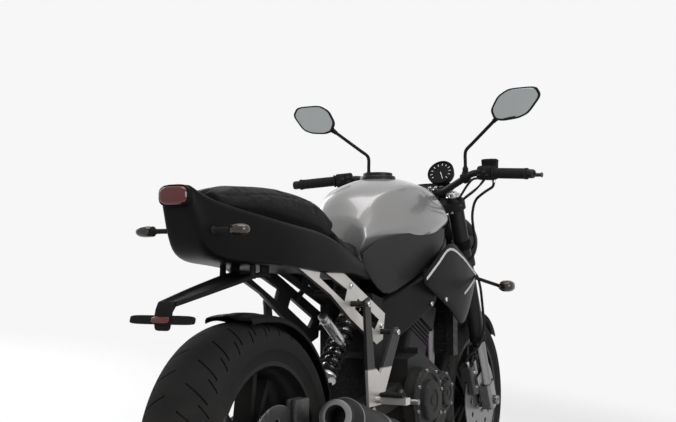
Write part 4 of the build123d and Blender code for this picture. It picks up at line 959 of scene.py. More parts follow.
def tyre_profile(half, drop, radius, rim_half):
    """Places (across, radius) from the left bead over the crown to the right bead."""
    leans = [(-1 + 2 * i / CROWN_STEPS) * pi / 2 * 0.985 for i in range(CROWN_STEPS + 1)]
    crown = [(half * sin(lean), radius - drop * (1 - cos(lean))) for lean in leans]
    wall = [(-rim_half, BEAD_R), (-rim_half * 1.04, BEAD_R + 8), (-half * 0.93, BEAD_R + 26),
            (-half * 0.995, radius - drop - 20)]
    return wall + crown + [(-a, r) for a, r in reversed(wall)]


def flat_sector(across):
    """Grid with a long and a short groove pressed in on each half."""
    activate()
    bpy.ops.mesh.primitive_grid_add(x_subdivisions=across - 1, y_subdivisions=ALONG, size=1)
    sector = bpy.context.object
    for i, vert in enumerate(sector.data.vertices):
        vert.co = (i % across, i // across, 0)
    edit(sector)
    bpy.ops.mesh.select_mode(type="FACE")
    bpy.ops.mesh.select_all(action="DESELECT")
    grid = bmesh.from_edit_mesh(sector.data)
    middle = (across - 2) / 2
    for face in grid.faces:
        spot = face.calc_center_median()
        off, row, left = abs(spot.x - 0.5 - middle), int(spot.y), spot.x > middle + 0.5
        face.select = (2 <= off <= 10 and row == (2 if left else 7)) or (7 <= off <= 12 and row == (5 if left else 0))
    bmesh.update_edit_mesh(sector.data)
    bpy.ops.mesh.inset(thickness=0.14, depth=0)
    bpy.ops.mesh.extrude_region_move(TRANSFORM_OT_translate={"value": (0, 0, -GROOVE_DEPTH)})
    leave()
    return sector


def wrap_round(sector, name, profile, centre):
    """Copies of a flat sector wrapped round an axle: x runs across the profile, y along the sector, z is depth."""
    flat = [v.co.copy() for v in sector.data.vertices]
    places = [Vector(row) for row in profile]
    copies = [twin(sector) for _ in range(SECTORS)]
    bpy.data.objects.remove(sector)
    for k, piece in enumerate(copies):
        for vert, co in zip(piece.data.vertices, flat):
            low = min(int(co.x), len(places) - 2)
            run = places[low + 1] - places[low]
            inward = Vector((run.y, -run.x)).normalized()
            across, radius = places[low] + run * (co.x - low) - inward * co.z
            slant = min(abs(co.x - (len(places) - 1) / 2), 14) * 0.75
            turn = 2 * pi * (k + (co.y + slant) / ALONG) / SECTORS
            vert.co = centre + (spoke(turn) * radius + ASIDE * across) * MM
    ring = gather(name, copies)
    edit(ring)
    close_skin(0.00005)
    leave()
    apply(ring, "SOLIDIFY", thickness=6 * MM, offset=-1.0)
    return ring


for name, node, body, centre, radius, half, drop, rim_half in (
        ("rear_tread", "rear_tyre", "rear_wheel", REAR_CENTRE, REAR_R, 90, 45, 80),
        ("front_tread", "front_tyre", "front_wheel", FRONT_CENTRE, FRONT_R, 60, 33, 52)):
    profile = tyre_profile(half, drop, radius, rim_half)
    tyre = wrap_round(flat_sector(len(profile)), name, profile, centre)
    settle(tyre, body, "tyre_rubber", angle=35)
    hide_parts(node)

# %% [markdown]
# ## Drive chain
# A chain is pairs of inner plates on rollers and pairs of outer plates on pins. One plate and one roller are
# modelled and laid along the path round both sprockets, the plates closer in on every other link.

# %% Chain links
PITCH = 15.875
CHAIN_Y = 103
OUTER_PLATES, INNER_PLATES = (-7.6, 5.8), (-5.4, 3.6)


def rim_place(centre, radius, angle):
    return centre + Vector((cos(angle), sin(angle))) * radius


def chain_path():
    """Places of the pins along both sprockets and the straight runs."""
    rear, front = Vector((0, REAR_R)), Vector((655, 400))
    big, small = (PITCH / (2 * sin(pi / teeth)) for teeth in (45, 16))
    gap = front - rear
    lean = (big - small) / gap.length
    open_angle = pi / 2 - atan2(lean, sqrt(1 - lean ** 2))
    upper, lower = (atan2(gap.y, gap.x) + open_angle * hand for hand in (1, -1))
    run = sqrt(gap.length ** 2 - (big - small) ** 2)
    bend = small * 2 * open_angle
    total = 2 * run + big * (2 * pi - 2 * open_angle) + bend
    count = 2 * round(total / PITCH / 2)

    def place(s):
        if s < run:
            return rim_place(rear, big, upper).lerp(rim_place(front, small, upper), s / run)
        if s < run + bend:
            return rim_place(front, small, upper - (s - run) / small)
        if s < 2 * run + bend:
            return rim_place(front, small, lower).lerp(rim_place(rear, big, lower), (s - run - bend) / run)
        return rim_place(rear, big, lower - (s - 2 * run - bend) / big)
    return [place(i * total / count) for i in range(count)]


def link_plate(half_pitch, radius, waist, thick):
    """Figure-of-eight plate lying in x and z, with its middle at zero."""
    activate()
    bpy.ops.mesh.primitive_circle_add(vertices=20, radius=1, fill_type="NGON", rotation=(pi / 2, 0, 0))
    link = bpy.context.object
    bpy.ops.object.transform_apply(location=False, rotation=True, scale=False)
    for vert, turn in zip(link.data.vertices, turns(20)):
        end = half_pitch * (1 if cos(turn) >= 0 else -1) if abs(cos(turn)) > 0.2 else 0
        high = waist if abs(cos(turn)) < 0.35 else radius
        vert.co = at(end + cos(turn) * radius * 0.98, 0, sin(turn) * high)
    edit(link)
    bpy.ops.mesh.select_all(action="SELECT")
    bpy.ops.mesh.extrude_region_move(TRANSFORM_OT_translate={"value": (0, thick * MM, 0)})
    close_skin()
    leave()
    return link


pins = chain_path()
link = link_plate(PITCH / 2, 7.4, 5.4, 1.8)
activate()
bpy.ops.mesh.primitive_cylinder_add(vertices=12, radius=5.0 * MM, depth=16.4 * MM, rotation=(pi / 2, 0, 0))
roller = bpy.context.object
bpy.ops.object.transform_apply(location=False, rotation=True, scale=False)
copies = []
for i, spot in enumerate(pins):
    ahead = pins[(i + 1) % len(pins)]
    middle = (spot + ahead) / 2
    lean = Matrix.Rotation(-atan2(ahead.y - spot.y, ahead.x - spot.x), 4, "Y")
    for y in OUTER_PLATES if i % 2 else INNER_PLATES:
        copies.append(twin(link))
        copies[-1].matrix_world = Matrix.Translation(at(middle.x, CHAIN_Y + y, middle.y)) @ lean
    copies.append(twin(roller))
    copies[-1].matrix_world = Matrix.Translation(at(spot.x, CHAIN_Y, spot.y))
for source in (link, roller):
    bpy.data.objects.remove(source)
chain = gather("chain_links", copies)
bpy.ops.object.transform_apply(location=True, rotation=True, scale=True)
settle(chain, "frame", "chain_steel")
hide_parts("drive_chain")
print("pins:", len(pins))

# %% [markdown]
# ## Front fender
# The fender is a thin crowned blade. A flat grid is bent round the wheel and crowned across, then given its wall.

# %% Front fender blade
FENDER_R = 322
rows = []
for step in range(29):
    narrow = 70 - 14 * abs(step / 14 - 1) ** 3
    out = spoke(radians(42 + 118 * step / 28))
    rows.append([FRONT_CENTRE + (out * (FENDER_R + 4 * (1 - t * t) - 12 * max(0, abs(t) - 0.72) / 0.28)
                                 + ASIDE * narrow * t) * MM for t in (k / 7 - 1 for k in range(15))])
blade = sheet("front_blade", rows, 3, UPWARD)
subdivide(blade)
settle(blade, "fork", "panel_black", angle=60)
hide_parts("front_fender")

# %% [markdown]
# ## Tail light, signals and plate carrier
# The tail light is a dark red lens in a thin bezel. The signals are smoked lenses on ribbed rubber stalks. The
# carrier is a pressed tray: two raised edges and a dished middle stop it from flapping.

# %% Tail light
TAIL_FACE = at(-268, 0, 912)
lens = stack("tail_lens", TAIL_FACE, -FORWARD, ASIDE, UPWARD,
             [(0, 38, 22), (5, 37.5, 21.5), (9, 36, 20), (12, 33, 18), (13.5, 28, 14)])
settle(lens, "frame", "tail_red", angle=50)
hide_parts("tail_light")
bezel = stack("tail_bezel", TAIL_FACE, -FORWARD, ASIDE, UPWARD,
              [(-6, 41, 24.6), (4, 41, 24.6), (6, 40, 23.8), (6, 38.3, 22.3), (1, 38.2, 22.2)])
settle(bezel, "frame", "panel_black", angle=50)

# %% Signals
def make_signal(name, root, tip, wide, high, body, grow):
    """Lamp on a ribbed rubber stalk; tip is the middle of the lamp's inner face."""
    way = ASIDE if tip.y > 0 else -ASIDE
    rows = [(0, 0.55), (3, 0.82), (10, 0.97), (24, 1.0), (34, 0.9), (41, 0.66), (44, 0.34)]
    rows = [(d * grow + 4, wide * s, high * s) for d, s in rows]
    lamp = stack(name + "_lens", tip, way, FORWARD, UPWARD, rows, 20, 2.4)
    settle(lamp, body, "signal_smoke", angle=60)
    run = (tip - root).length / MM
    steps = [(0, 9), (3, 9.4), (5, 7)]
    place = 8
    while place < run - 8:
        steps += [(place, 5.4), (place + 2, 6.2), (place + 4, 5.4)]
        place += 6
    steps += [(run - 3, 7), (run + 3, 12), (run + 6, 12)]
    settle(lathe(name + "_stalk", root, tip - root, steps, 16), body, "grip_rubber")
    return lamp


for side, hand in SIDES:
    lamp = make_signal("rear_signal_" + hand, at(-205, side * 57, 838), at(-205, side * 104, 838), 21, 13,
                       "frame", 0.95)
    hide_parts("rear_signals")
    lamp = make_signal("front_signal_" + hand, at(1130, side * 175, 735), at(1150, side * 256, 707), 31, 19, "frame", 1)
    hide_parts("front_signals")

# %% Plate carrier
CARRIER_TOP = [(58, 741), (20, 747), (-110, 721), (-200, 701.5), (-292, 681)]
POST = [(56, 736), (34, 838), (-22, 838), (-28, 730), (-8, 730), (-8, 790), (10, 800), (20, 740)]
PLATE_X = -307
PLATE_UP = Vector((0.292, 0, 0.956))
PLATE_BACK = Vector((-0.956, 0, 0.292))

rows = []
for x, z in smooth_rows(CARRIER_TOP, 5):
    half = 48 - 22 * ((58 - x) / 350) ** 2
    across = [(half, -10), (half - 1, -2), (half - 4, 0), (half - 9, 0), (half - 14, -5), (half * 0.3, -6), (0, -6)]
    rows.append([at(x, y, z + dz) for y, dz in across + [(-y, dz) for y, dz in reversed(across[:-1])]])
tray = sheet("plate_carrier", rows, 3, UPWARD)
soften(tray, 0.8, 40)
posts = [plate("post", POST, side * 39, side * 46) for side in (1, -1)]
blade = stack("blade", at(PLATE_X, 0, 642), PLATE_BACK, ASIDE, PLATE_UP,
              [(-2, 85, 9), (1.5, 86, 10), (3, 86, 10), (4, 85, 9)], 32, 6)
neck = loft("neck", [oval(at(PLATE_X + x, 0, z), ASIDE, UPWARD, w, h, 24, 5)
                     for x, z, w, h in ((21, 676, 21, 6), (9, 668, 21, 14), (3, 650, 22, 22), (0, 640, 22, 21))])
carrier = gather("plate_carrier", [tray, blade, neck] + posts)
settle(carrier, "frame", "trim_black")
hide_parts("rear_fender")
settle(stack("plate_lamp", at(PLATE_X + 11, 0, 672), -UPWARD, ASIDE, FORWARD,
             [(0, 20, 8), (5, 20, 8), (7, 18, 6), (8, 14, 4)], 20, 3), "frame", "lamp_glass")
settle(stack("rear_reflector", at(PLATE_X - 5, 0, 642), PLATE_BACK, ASIDE, PLATE_UP,
             [(0, 24, 7), (4, 24, 7), (5.5, 22, 5.5)], 24, 4), "frame", "tail_red")

# %% [markdown]
# ## Hugger
# The hugger keeps the wheel's spray off the shock absorber. It is a blade that follows the tyre, with cheeks that
# turn down beside it.

# %% Rear hugger
HUGGER_R = 329
HUGGER_HALF = 85
CROWN_ACROSS = [(1, 16), (0.99, 8), (0.93, 2), (0.8, 0), (0.5, -2.5), (0.22, -3.6), (0.2, -5.4), (0, -5.8)]
CROWN_ACROSS += [(-share, drop) for share, drop in reversed(CROWN_ACROSS[:-1])]  # share of the half width, how far in
rows = []
for t in (step / 30 for step in range(31)):
    narrow = HUGGER_HALF * (0.8 + 0.2 * min(1, min(t, 1 - t) * 6))
    out = spoke(radians(7 + 93 * t))
    rows.append([REAR_CENTRE + (out * (HUGGER_R - drop) + ASIDE * narrow * share) * MM for share, drop in CROWN_ACROSS])
hugger = sheet("hugger", rows, 2.6, UPWARD)
soften(hugger, 0.8, 50)
hugger = gather("hugger", [hugger, brick("hugger_foot", (322, -22, 364), (349, 22, 387))])
settle(hugger, "frame", "trim_black", angle=50)
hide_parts("rear_hugger")

# %% [markdown]
# ## Shock absorber
# One shock stands behind the gearbox. Its spring is a real helix: a hoop carried round and up the damper.

# %% Shock absorber with a wound spring
SHOCK_FOOT, SHOCK_TOP = at(396, 0, 436), at(600, 0, 655)
SPRING_TURNS, SPRING_R, WIRE_R = 7.5, 29, 5.2
SPRING_START = 40
COLLAR = ((0, 27), (1, 29), (2.5, 29), (3.5, 27))
way = (SHOCK_TOP - SHOCK_FOOT).normalized()
up = way.cross(ASIDE)
long = (SHOCK_TOP - SHOCK_FOOT).length / MM
spring_long = long - 66 - SPRING_START
rings = []
for t in (i / 150 for i in range(151)):
    turn = 2 * pi * SPRING_TURNS * t
    rise = SPRING_START + spring_long * (t - 0.012 * sin(2 * pi * t))
    place = SHOCK_FOOT + way * rise * MM + (ASIDE * cos(turn) + up * sin(turn)) * SPRING_R * MM
    along = (ASIDE * -sin(turn) + up * cos(turn)) * SPRING_R * 2 * pi * SPRING_TURNS + way * spring_long
    rings.append(hoop(place, along.normalized(), WIRE_R, 10, way))
spring = loft("shock_spring", rings)
settle(spring, "frame", "spring_black")
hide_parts("shock_absorber")

damper = [lathe("damper", SHOCK_FOOT, way,
                [(8, 10), (12, 13), (28, 13), (30, 33), (32, 34), (38, 34), (39, 22), (60, 20), (150, 20), (152, 23)]
                + [(long - d, r) for d, r in ((70, 23), (66, 30), (62, 31), (30, 31), (26, 26), (14, 16))])]
damper += [lathe("eye", spot - ASIDE * half * MM, ASIDE, [(0, r - 2), (1.5, r), (2 * half - 1.5, r), (2 * half, r - 2)])
           for spot, half, r in ((SHOCK_FOOT, 17, 17), (SHOCK_TOP, 20, 19))]
damper += [lathe("ring", SHOCK_FOOT, way, [(long - low + d, r) for d, r in COLLAR]) for low in (74, 70)]
settle(gather("shock_damper", damper), "frame", "alloy")

# %% [markdown]
# ## Handlebar and mirrors
# The mirrors are what one sees first in the photograph: six-sided heads with soft corners, a dark back that bulges
# forward, a thin rim, and a glass set a little inside it. The head is a skin over its own outline: from the rim
# inwards to the glass's seat on one side, and over the shell to a small crown on the other.

# %% Mirrors
BAR = along_fork(1121.5, -1, 0)
BAR_KNEE = BAR + Vector((0, 84, 0))
BAR_ELBOW = BAR + Vector((-34, 205, 57))
BAR_END = BAR + Vector((-95, 405, 39))
MIRROR_HEAD = BAR + Vector((-78, 363, 265))
MIRROR_OUTLINE = [(-84, -16), (-72, -46), (-44, -53), (8, -48), (42, -34), (84, 20), (68, 50), (-22, 50), (-60, 28)]
MIRROR_SHELL = [(3.2, 0.3), (3.2, 0.9), (0.8, 0.915), (0.1, 0.94), (0.0, 0.965), (1.2, 0.99), (4, 1.0), (9, 0.985),
                (15, 0.93), (20, 0.82), (23.5, 0.62), (24, 0.3)]  # depth ahead of the face, scale
MIRROR_GLASS = [(3.0, 0.895), (1.4, 0.9), (0.9, 0.88), (0.5, 0.6), (0.4, 0.3)]


def to_side(point, side):
    """A place or direction of the left half, on either side."""
    return Vector((point.x, side * point.y, point.z))


def soft_outline(points, per_corner=5, reach=0.3):
    """Closed outline with each corner rounded over a share of its sides."""
    ring = []
    corners = [Vector(point) for point in points]
    for i, here in enumerate(corners):
        start = here.lerp(corners[i - 1], reach)
        end = here.lerp(corners[(i + 1) % len(corners)], reach)
        for t in (k / (per_corner - 1) for k in range(per_corner)):
            ring.append(start * (1 - t) ** 2 + here * 2 * t * (1 - t) + end * t ** 2)
    return ring


def mirror_skin(name, side, rows):
    return loft(name, [[to_side(MIRROR_HEAD + Vector((depth, u * scale, v * scale)), side) * MM
                        for u, v in soft_outline(MIRROR_OUTLINE)] for depth, scale in rows])


for side, hand in SIDES:
    along = to_side(BAR_ELBOW - BAR_KNEE, side).normalized()
    foot = to_side(BAR_KNEE, side) + along * 104
    head = to_side(MIRROR_HEAD + Vector((16, -60, -34)), side)
    knee = foot + UPWARD * 88
    lean = (head - knee).normalized()
    shell = [mirror_skin("shell", side, MIRROR_SHELL),
             pipe("stalk", [foot + UPWARD * 14, foot + UPWARD * 50, knee - UPWARD * 10, knee + lean * 8,
                            knee + lean * 40, head - lean * 30, head + lean * 10], 5.6, 14),
             lathe("clamp", (foot - along * 11) * MM, along, [(0, 15), (2, 17.5), (20, 17.5), (22, 15)]),
             lathe("nut", (foot + UPWARD * 12) * MM, UPWARD,
                   [(0, 12), (6, 12), (8, 9), (9, 9.6), (19, 9.6), (20, 8.5), (26, 6)], 6),
             lathe("boot", (head - lean * 26) * MM, lean,
                   [(0, 6.2), (3, 7.4), (8, 7.0), (12, 8.6), (16, 8.0), (20, 10.5), (26, 12), (33, 12)], 18)]
    shell = gather("mirror_shell_" + hand, shell)
    settle(shell, "fork", "trim_black", angle=50)
    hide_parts("mirrors")
    glass = mirror_skin("mirror_glass_" + hand, side, MIRROR_GLASS)
    settle(glass, "fork", "mirror_silver", angle=60)
    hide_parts("mirror_glasses")

# %% [markdown]
# ## Grips, switches, levers and cables
# Rubber grips have rings of ribs and a flange. The switch housings are two halves with a parting line and raised
# buttons, the levers are forged blades that end in a ball, and the cables loop out ahead of the fork before they
# go in behind the lamp.

# %% Grips and bar ends
BAR_WAY = (BAR_END - BAR_ELBOW).normalized()
GRIP_RIBS = [(9 + 4.6 * k + d, r) for k in range(23) for d, r in ((0, 15.8), (0.8, 16.9), (2.2, 16.9), (3, 15.8))]
GRIP = ([(0, 15), (0.5, 20.5), (3, 21), (5, 20.5), (6, 16.2)] + GRIP_RIBS
        + [(115, 16.5), (117, 18), (124, 18), (126, 16.5), (127, 14)])
BAR_WEIGHT = [(127, 11), (128, 14), (140, 14.5), (147, 13.5), (149, 11.5), (149, 6), (145, 5)]

for side, hand in SIDES:
    start = to_side(BAR_END - BAR_WAY * 125, side) * MM
    way = to_side(BAR_WAY, side)
    grip = lathe("grip_" + hand, start, way, GRIP, 32)
    settle(grip, "fork", "grip_rubber", angle=60)
    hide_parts("grips")
    weight = lathe("bar_end_" + hand, start, way, BAR_WEIGHT)
    settle(weight, "fork", "fork_dark")
    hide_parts("grips")

# %% Switch housings and their buttons
POD_START = BAR_END - BAR_WAY * 184
POD_FRONT = POD_START + BAR_WAY * 39
POD = [(0, 0.82), (2, 0.97), (6, 1.0), (26, 1.0), (27.2, 0.965), (28.4, 1.0), (50, 1.0), (54, 0.97), (56, 0.82)]
BUTTONS = ((12, 6, 6.5), (12, -9, 5), (32, 2, 7.5), (44, -8, 4.5))  # along the bar, up, size

for side, hand in SIDES:
    start, front = to_side(POD_START, side), to_side(POD_FRONT, side)
    way = to_side(BAR_WAY, side)
    up = squared(UPWARD, way)
    ahead = up.cross(way) * -side
    pod = stack("pod", start * MM, way, ahead, up, [(d, 20.5 * s, 23 * s) for d, s in POD], 28, 2.8)
    perch = pipe("perch", [front + to_side(Vector(p), side) for p in ((4, 0, 0), (18, 3, 1), (34, 6, 2))], 11, 18)
    pivot = lathe("pivot", (front + Vector((30, side * 5, -11))) * MM, UPWARD,
                  [(0, 8), (1, 10.5), (26, 10.5), (27, 8), (27, 5), (28, 5), (29, 4)], 20)
    housing = gather("switch_housing_" + hand, [pod, perch, pivot])
    settle(housing, "fork", "trim_black")
    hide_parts("control_pods")
    buttons = [stack("button", (start + way * d + up * rise - ahead * 19.2) * MM, -ahead, way, up,
                     [(h, size * s, size * 0.62 * s) for h, s in ((0, 1), (2.4, 1), (3.4, 0.86), (3.8, 0.6))], 16, 3)
               for d, rise, size in BUTTONS]
    settle(gather("switches_" + hand, buttons), "fork", "cover_grey")

# %% Brake fluid reservoir
middle = (to_side(POD_FRONT, -1) + Vector((34, 10, 0))) * MM
cup = stack("reservoir", middle, UPWARD, FORWARD, ASIDE,
            [(19, 17, 23), (21, 19, 25), (38, 19.4, 25.4), (39, 20, 26), (44, 20, 26), (47, 19, 25), (48.5, 16, 22),
             (48.6, 12, 18), (47.4, 11, 17)], 28, 4)
settle(cup, "fork", "trim_black")
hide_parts("control_pods")
spots = [(middle + at(x, y, 48), UPWARD) for x, y in ((-15, 19), (15, 19), (-15, -19), (15, -19))]
settle(stamp("reservoir_screws", socket_bolt(2.6, 1.6), spots), "fork", "alloy")

# %% Levers
LEVER_ROUTE = [(2, 0, 1), (14, 14, 0), (23, 46, -4), (19, 82, -6), (10, 118, -8), (3, 146, -10), (1, 158, -10.5)]
BALL_FROM = 0.93  # share of the lever where its ball begins

for side, hand in SIDES:
    start = to_side(POD_FRONT + Vector((30, 5, 0)), side)
    route = [Vector(p) for p in smooth_rows([tuple(start + to_side(Vector(p), side)) for p in LEVER_ROUTE], 6)]
    rings = []
    for i, (place, way) in enumerate(zip(route, ways_along(route))):
        t = i / (len(route) - 1)
        wide, high = (8, 7.2) if t > BALL_FROM else (9.5 - 4 * min(1, t * 2.2) + 1.2 * sin(pi * t), 4.6)
        across = squared(UPWARD, way)
        rings.append(oval(place * MM, across, way.cross(across), wide, high, 16, 2.6))
    lever = [loft("lever", rounded_ends(rings, 0.6, 2)),
             lathe("bolt", (start + UPWARD * 12) * MM, UPWARD, [(0, 6), (3, 6), (4, 5), (4, 2.6), (2.4, 2.4)], 16)]
    lever = gather("lever_" + hand, lever)
    settle(lever, "fork", "caliper_black")
    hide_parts("levers")

# %% Control cables and wires
CABLES = [  # name, side, radius, places from the switch housing, places along the fork
    ("clutch_cable", 1, 3.6, [(38, -12, 2), (62, -50, -6)],
     [(1060, 88, 120), (980, 84, 70), (900, 70, 46), (862, 44, 40)]),
    ("throttle_cable_a", -1, 3.2, [(14, 22, -20), (36, 52, -40)],
     [(1050, 96, -100), (985, 92, -40), (930, 74, 10), (880, 42, 42)]),
    ("throttle_cable_b", -1, 3.2, [(4, 22, -21), (24, 56, -50)],
     [(1042, 84, -92), (975, 82, -30), (920, 68, 22), (876, 38, 50)]),
    ("switch_loom_right", -1, 4, [(-6, 30, -16), (-2, 62, -22)],
     [(1096, 10, -136), (1068, 52, -112), (1000, 76, -62), (930, 60, -30)]),
    ("switch_loom_left", 1, 4, [(-6, -30, -16), (-2, -62, -22)],
     [(1096, 10, 136), (1068, 52, 112), (1000, 76, 62), (930, 60, 30)])]
for name, side, radius, near, far in CABLES:
    points = [to_side(POD_FRONT, side) + Vector(p) for p in near] + [along_fork(*p) for p in far]
    settle(pipe(name, points, radius, 10), "fork", "hose_rubber", angle=60)

# %% [markdown]
# The brake hoses run where the frame has them, so the frame's own tubes stay. They only gain their crimped ends.

# %% Brake hose ends
hose_foot = 175 + 100 * sin(RAKE) + FRONT_R * cos(RAKE)
CRIMP = [(0.4, 8), (3, 8), (3.5, 6.4), (16, 6.4), (17, 5)]
ends = [lathe("crimp", along_fork(hose_foot, -36, side * 80) * MM, UP_FORK, CRIMP, 18) for side in (1, -1)]
ends.append(lathe("crimp", (to_side(POD_FRONT, -1) + Vector((30, -4, -11))) * MM, -UPWARD,
                  [(0, 8), (4, 8), (4.5, 6.2), (16, 6.2), (17, 5)], 18))
settle(gather("hose_ends", ends), "fork", "alloy")

# %% [markdown]
# ## Headlight, clocks and fork tops
# Rings that must stay open in the middle, such as the lamp's bezel, are a closed outline spun round an axis. The
# lamp is built as a real one: a bowl, a bright reflector, a bulb in its socket, and a thick lens in front.

# %% Headlight
def ring(name, start, way, outline, count=48):
    """Closed outline of (along, radius) carried round an axis."""
    way = Vector(way).normalized()
    across = way.orthogonal().normalized()
    activate()
    bpy.ops.mesh.primitive_circle_add(vertices=len(outline), radius=1)
    body = bpy.context.object
    body.name = name
    for vert, (along, radius) in zip(body.data.vertices, outline):
        vert.co = start + (way * along + across * radius) * MM
    edit(body)
    bpy.ops.mesh.select_all(action="SELECT")
    bpy.ops.mesh.spin(steps=count, angle=2 * pi, center=start, axis=way)
    close_skin()
    leave()
    return body


LAMP = along_fork(887.2, 132.16, 0) * MM
settle(ring("lamp_bezel", LAMP, FORWARD, [(48, 98.4), (50, 101), (63, 102), (69, 100.5), (71, 97), (70, 93.8),
                                          (64, 93.2), (63, 98.4)], 64), "fork", "fork_dark", angle=50)
settle(lathe("lamp_reflector", LAMP, FORWARD, [(-33, 13), (-20, 43), (8, 73), (38, 87), (56, 92.6), (56, 91.4),
                                               (38, 85.5), (8, 71.5), (-19, 42), (-32, 12)], 48),
       "fork", "mirror_silver", angle=60)
settle(lathe("lamp_bulb", LAMP, FORWARD, [(-31, 11), (-24, 11), (-22, 7), (-2, 7), (4, 5), (6, 2)], 20),
       "fork", "pale_mark")
lens = lathe("lamp_lens", LAMP, FORWARD, [(57, 92.8), (62, 92.8), (67, 76), (71, 50), (73, 22), (73.4, 4)], 64)
settle(lens, "fork", "lamp_glass", angle=60)
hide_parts("headlight_lens")

# %% Flat clock
CLOCK_MARKS = ([(-4, 10 * k - 25, 1.2 if k % 2 else 2.6, 0.8) for k in range(10)]
               + [(16, -38, 6, 7), (16, -20, 6, 7), (-22, 30, 4, 12), (22, 42, 3, 3), (12, 42, 3, 3)])
middle = along_fork(1104.6, 92, 0) * MM
rim = stack("clock_rim", middle, UP_FORK, AHEAD_FORK, ASIDE,
            [(-12, 49, 76), (-1, 50, 77), (1.6, 49, 76), (2.4, 46, 73), (2.4, 43, 70), (0.6, 42, 69)], 36, 4)
settle(rim, "fork", "trim_black")
marks = [stack("mark", middle + (AHEAD_FORK * x + ASIDE * y) * MM, UP_FORK, AHEAD_FORK, ASIDE,
               [(0.3, w, h), (0.9, w, h)], 12, 6) for x, y, w, h in CLOCK_MARKS]
settle(gather("clock_marks", marks), "fork", "pale_mark")

# %% Round clock
middle, way = at(1196, -34, 1092), Vector((-0.86, 0, 0.5)).normalized()
case = lathe("clock_case", middle, way,
             [(-36, 14), (-32, 28), (-16, 42), (0, 46), (9, 47), (12, 46), (12, 42.5), (7, 41)], 40)
settle(case, "fork", "trim_black")
ticks = []
for k in range(12):
    turn = radians(26 * k - 130)
    out = (way.cross(ASIDE) * -cos(turn) - ASIDE * sin(turn)).normalized()
    far, long = (33, 4) if k < 11 else (13, 16)  # the last one is the needle
    ticks.append(stack("tick", middle + out * far * MM, way, out, way.cross(out),
                       [(7.3, long, 1), (7.9, long, 1)], 8, 6))
settle(gather("clock_ticks", ticks), "fork", "pale_mark")

# %% Fork caps, seals, bar clamps and fender ears
LEG_AHEAD, LEG_Y = 36.16, 105
CAP = [(-4, 25), (1, 25.5), (3, 24), (3, 15), (11, 15), (12, 13), (12, 7), (5, 6)]
SEAL = [(-6, 22), (-6, 29.5), (8, 30), (9, 28.5), (14, 28.5), (14, 27)]
caps = [lathe("cap", along_fork(1095, LEG_AHEAD, side * LEG_Y) * MM, UP_FORK, CAP, 24) for side in (1, -1)]
caps.append(lathe("stem", along_fork(1063, 0, 0) * MM, UP_FORK,
                  [(0, 20), (3, 20), (4, 17), (14, 17), (15, 14), (15, 8), (9, 7)], 6))
settle(gather("fork_caps", caps), "fork", "alloy")
seals = [lathe("seal", along_fork(560, LEG_AHEAD, side * LEG_Y) * MM, UP_FORK, SEAL, 32) for side in (1, -1)]
settle(gather("dust_seals", seals), "fork", "grip_rubber")
clamps = [lathe("clamp", (BAR + ASIDE * (side * 48 - 17)) * MM, ASIDE, [(0, 14), (1, 17), (33, 17), (34, 14)], 24)
          for side in (1, -1)]
settle(gather("bar_clamps", clamps), "fork", "fork_dark")
bolts = [((BAR + ASIDE * y + AHEAD_FORK * x + UP_FORK * 13) * MM, UP_FORK)
         for y in (38, 58, -38, -58) for x in (-11, 11)]
bolts += [(along_fork(s, 1, side * LEG_Y) * MM, -AHEAD_FORK) for s in (832, 848, 1048) for side in (1, -1)]
bolts += [(along_fork(s, -36, side * 98) * MM, ASIDE * side) for s in (409, 464) for side in (1, -1)]
settle(stamp("fork_bolts", socket_bolt(5, 5), bolts), "fork", "alloy")

foot = along_fork(203, 32, 0)
EAR = [(foot.x + x, foot.z + z) for x, z in ((-26, -14), (20, -16), (30, 56), (-34, 60))]
ears = gather("fender_ears", [plate("ear", EAR, side * 69, side * 72.6, 1) for side in (1, -1)])
settle(ears, "fork", "trim_black")
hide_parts("front_fender")

# %% [markdown]
# ## Engine, exhaust and cooling
# The covers get the turned steps, rims and bolts of real castings, the head its plug caps and their leads, and the
# radiator its fine core behind a guard. The silencer is a dark can with bands, a stepped end and a bore.

# %% Engine covers
COVERS = [(700, 380, 95, -190, 8), (862, 385, 62, -172, 6), (858, 380, 80, 186, 7)]  # x, z, radius, face y, bolts
trims = []
bolts = []
for x, z, r, face, count in COVERS:
    way = ASIDE if face > 0 else -ASIDE
    spot = at(x, face, z)
    trims.append(ring("rim", spot, way, [(-6, r + 0.6), (-6, r - 1), (0, r - 1), (3, r - 6), (3, r * 0.9 - 9),
                                         (5, r * 0.9 - 6), (5, r - 4), (0, r + 2), (-5, r + 3)]))
    boss = ((12, 0.60), (16, 0.58), (17, 0.54), (17, 0.34), (14.6, 0.33), (14.6, 0.16), (17, 0.15))
    trims.append(lathe("boss", spot, way, [(d, r * share) for d, share in boss] + [(17.4, 2)], 40))
    bolts += [(spot + (way * 4 + spoke(turn) * (r - 5)) * MM, way) for turn in turns(count, 0.35)]
settle(gather("cover_rims", trims), "frame", "engine_black")
settle(stamp("cover_bolts", socket_bolt(5, 5), bolts), "frame", "steel")

# %% Plug caps, leads, oil filter and coolant hoses
BORE_LEAN = radians(25)


def along_bore(high, y, ahead=0):
    """Place on the tilted cylinder, in mm: height over its foot, distance to the left, distance ahead of its axis."""
    return (Vector((790, y, 495)) + Vector((sin(BORE_LEAN), 0, cos(BORE_LEAN))) * high
            + Vector((cos(BORE_LEAN), 0, -sin(BORE_LEAN))) * ahead)


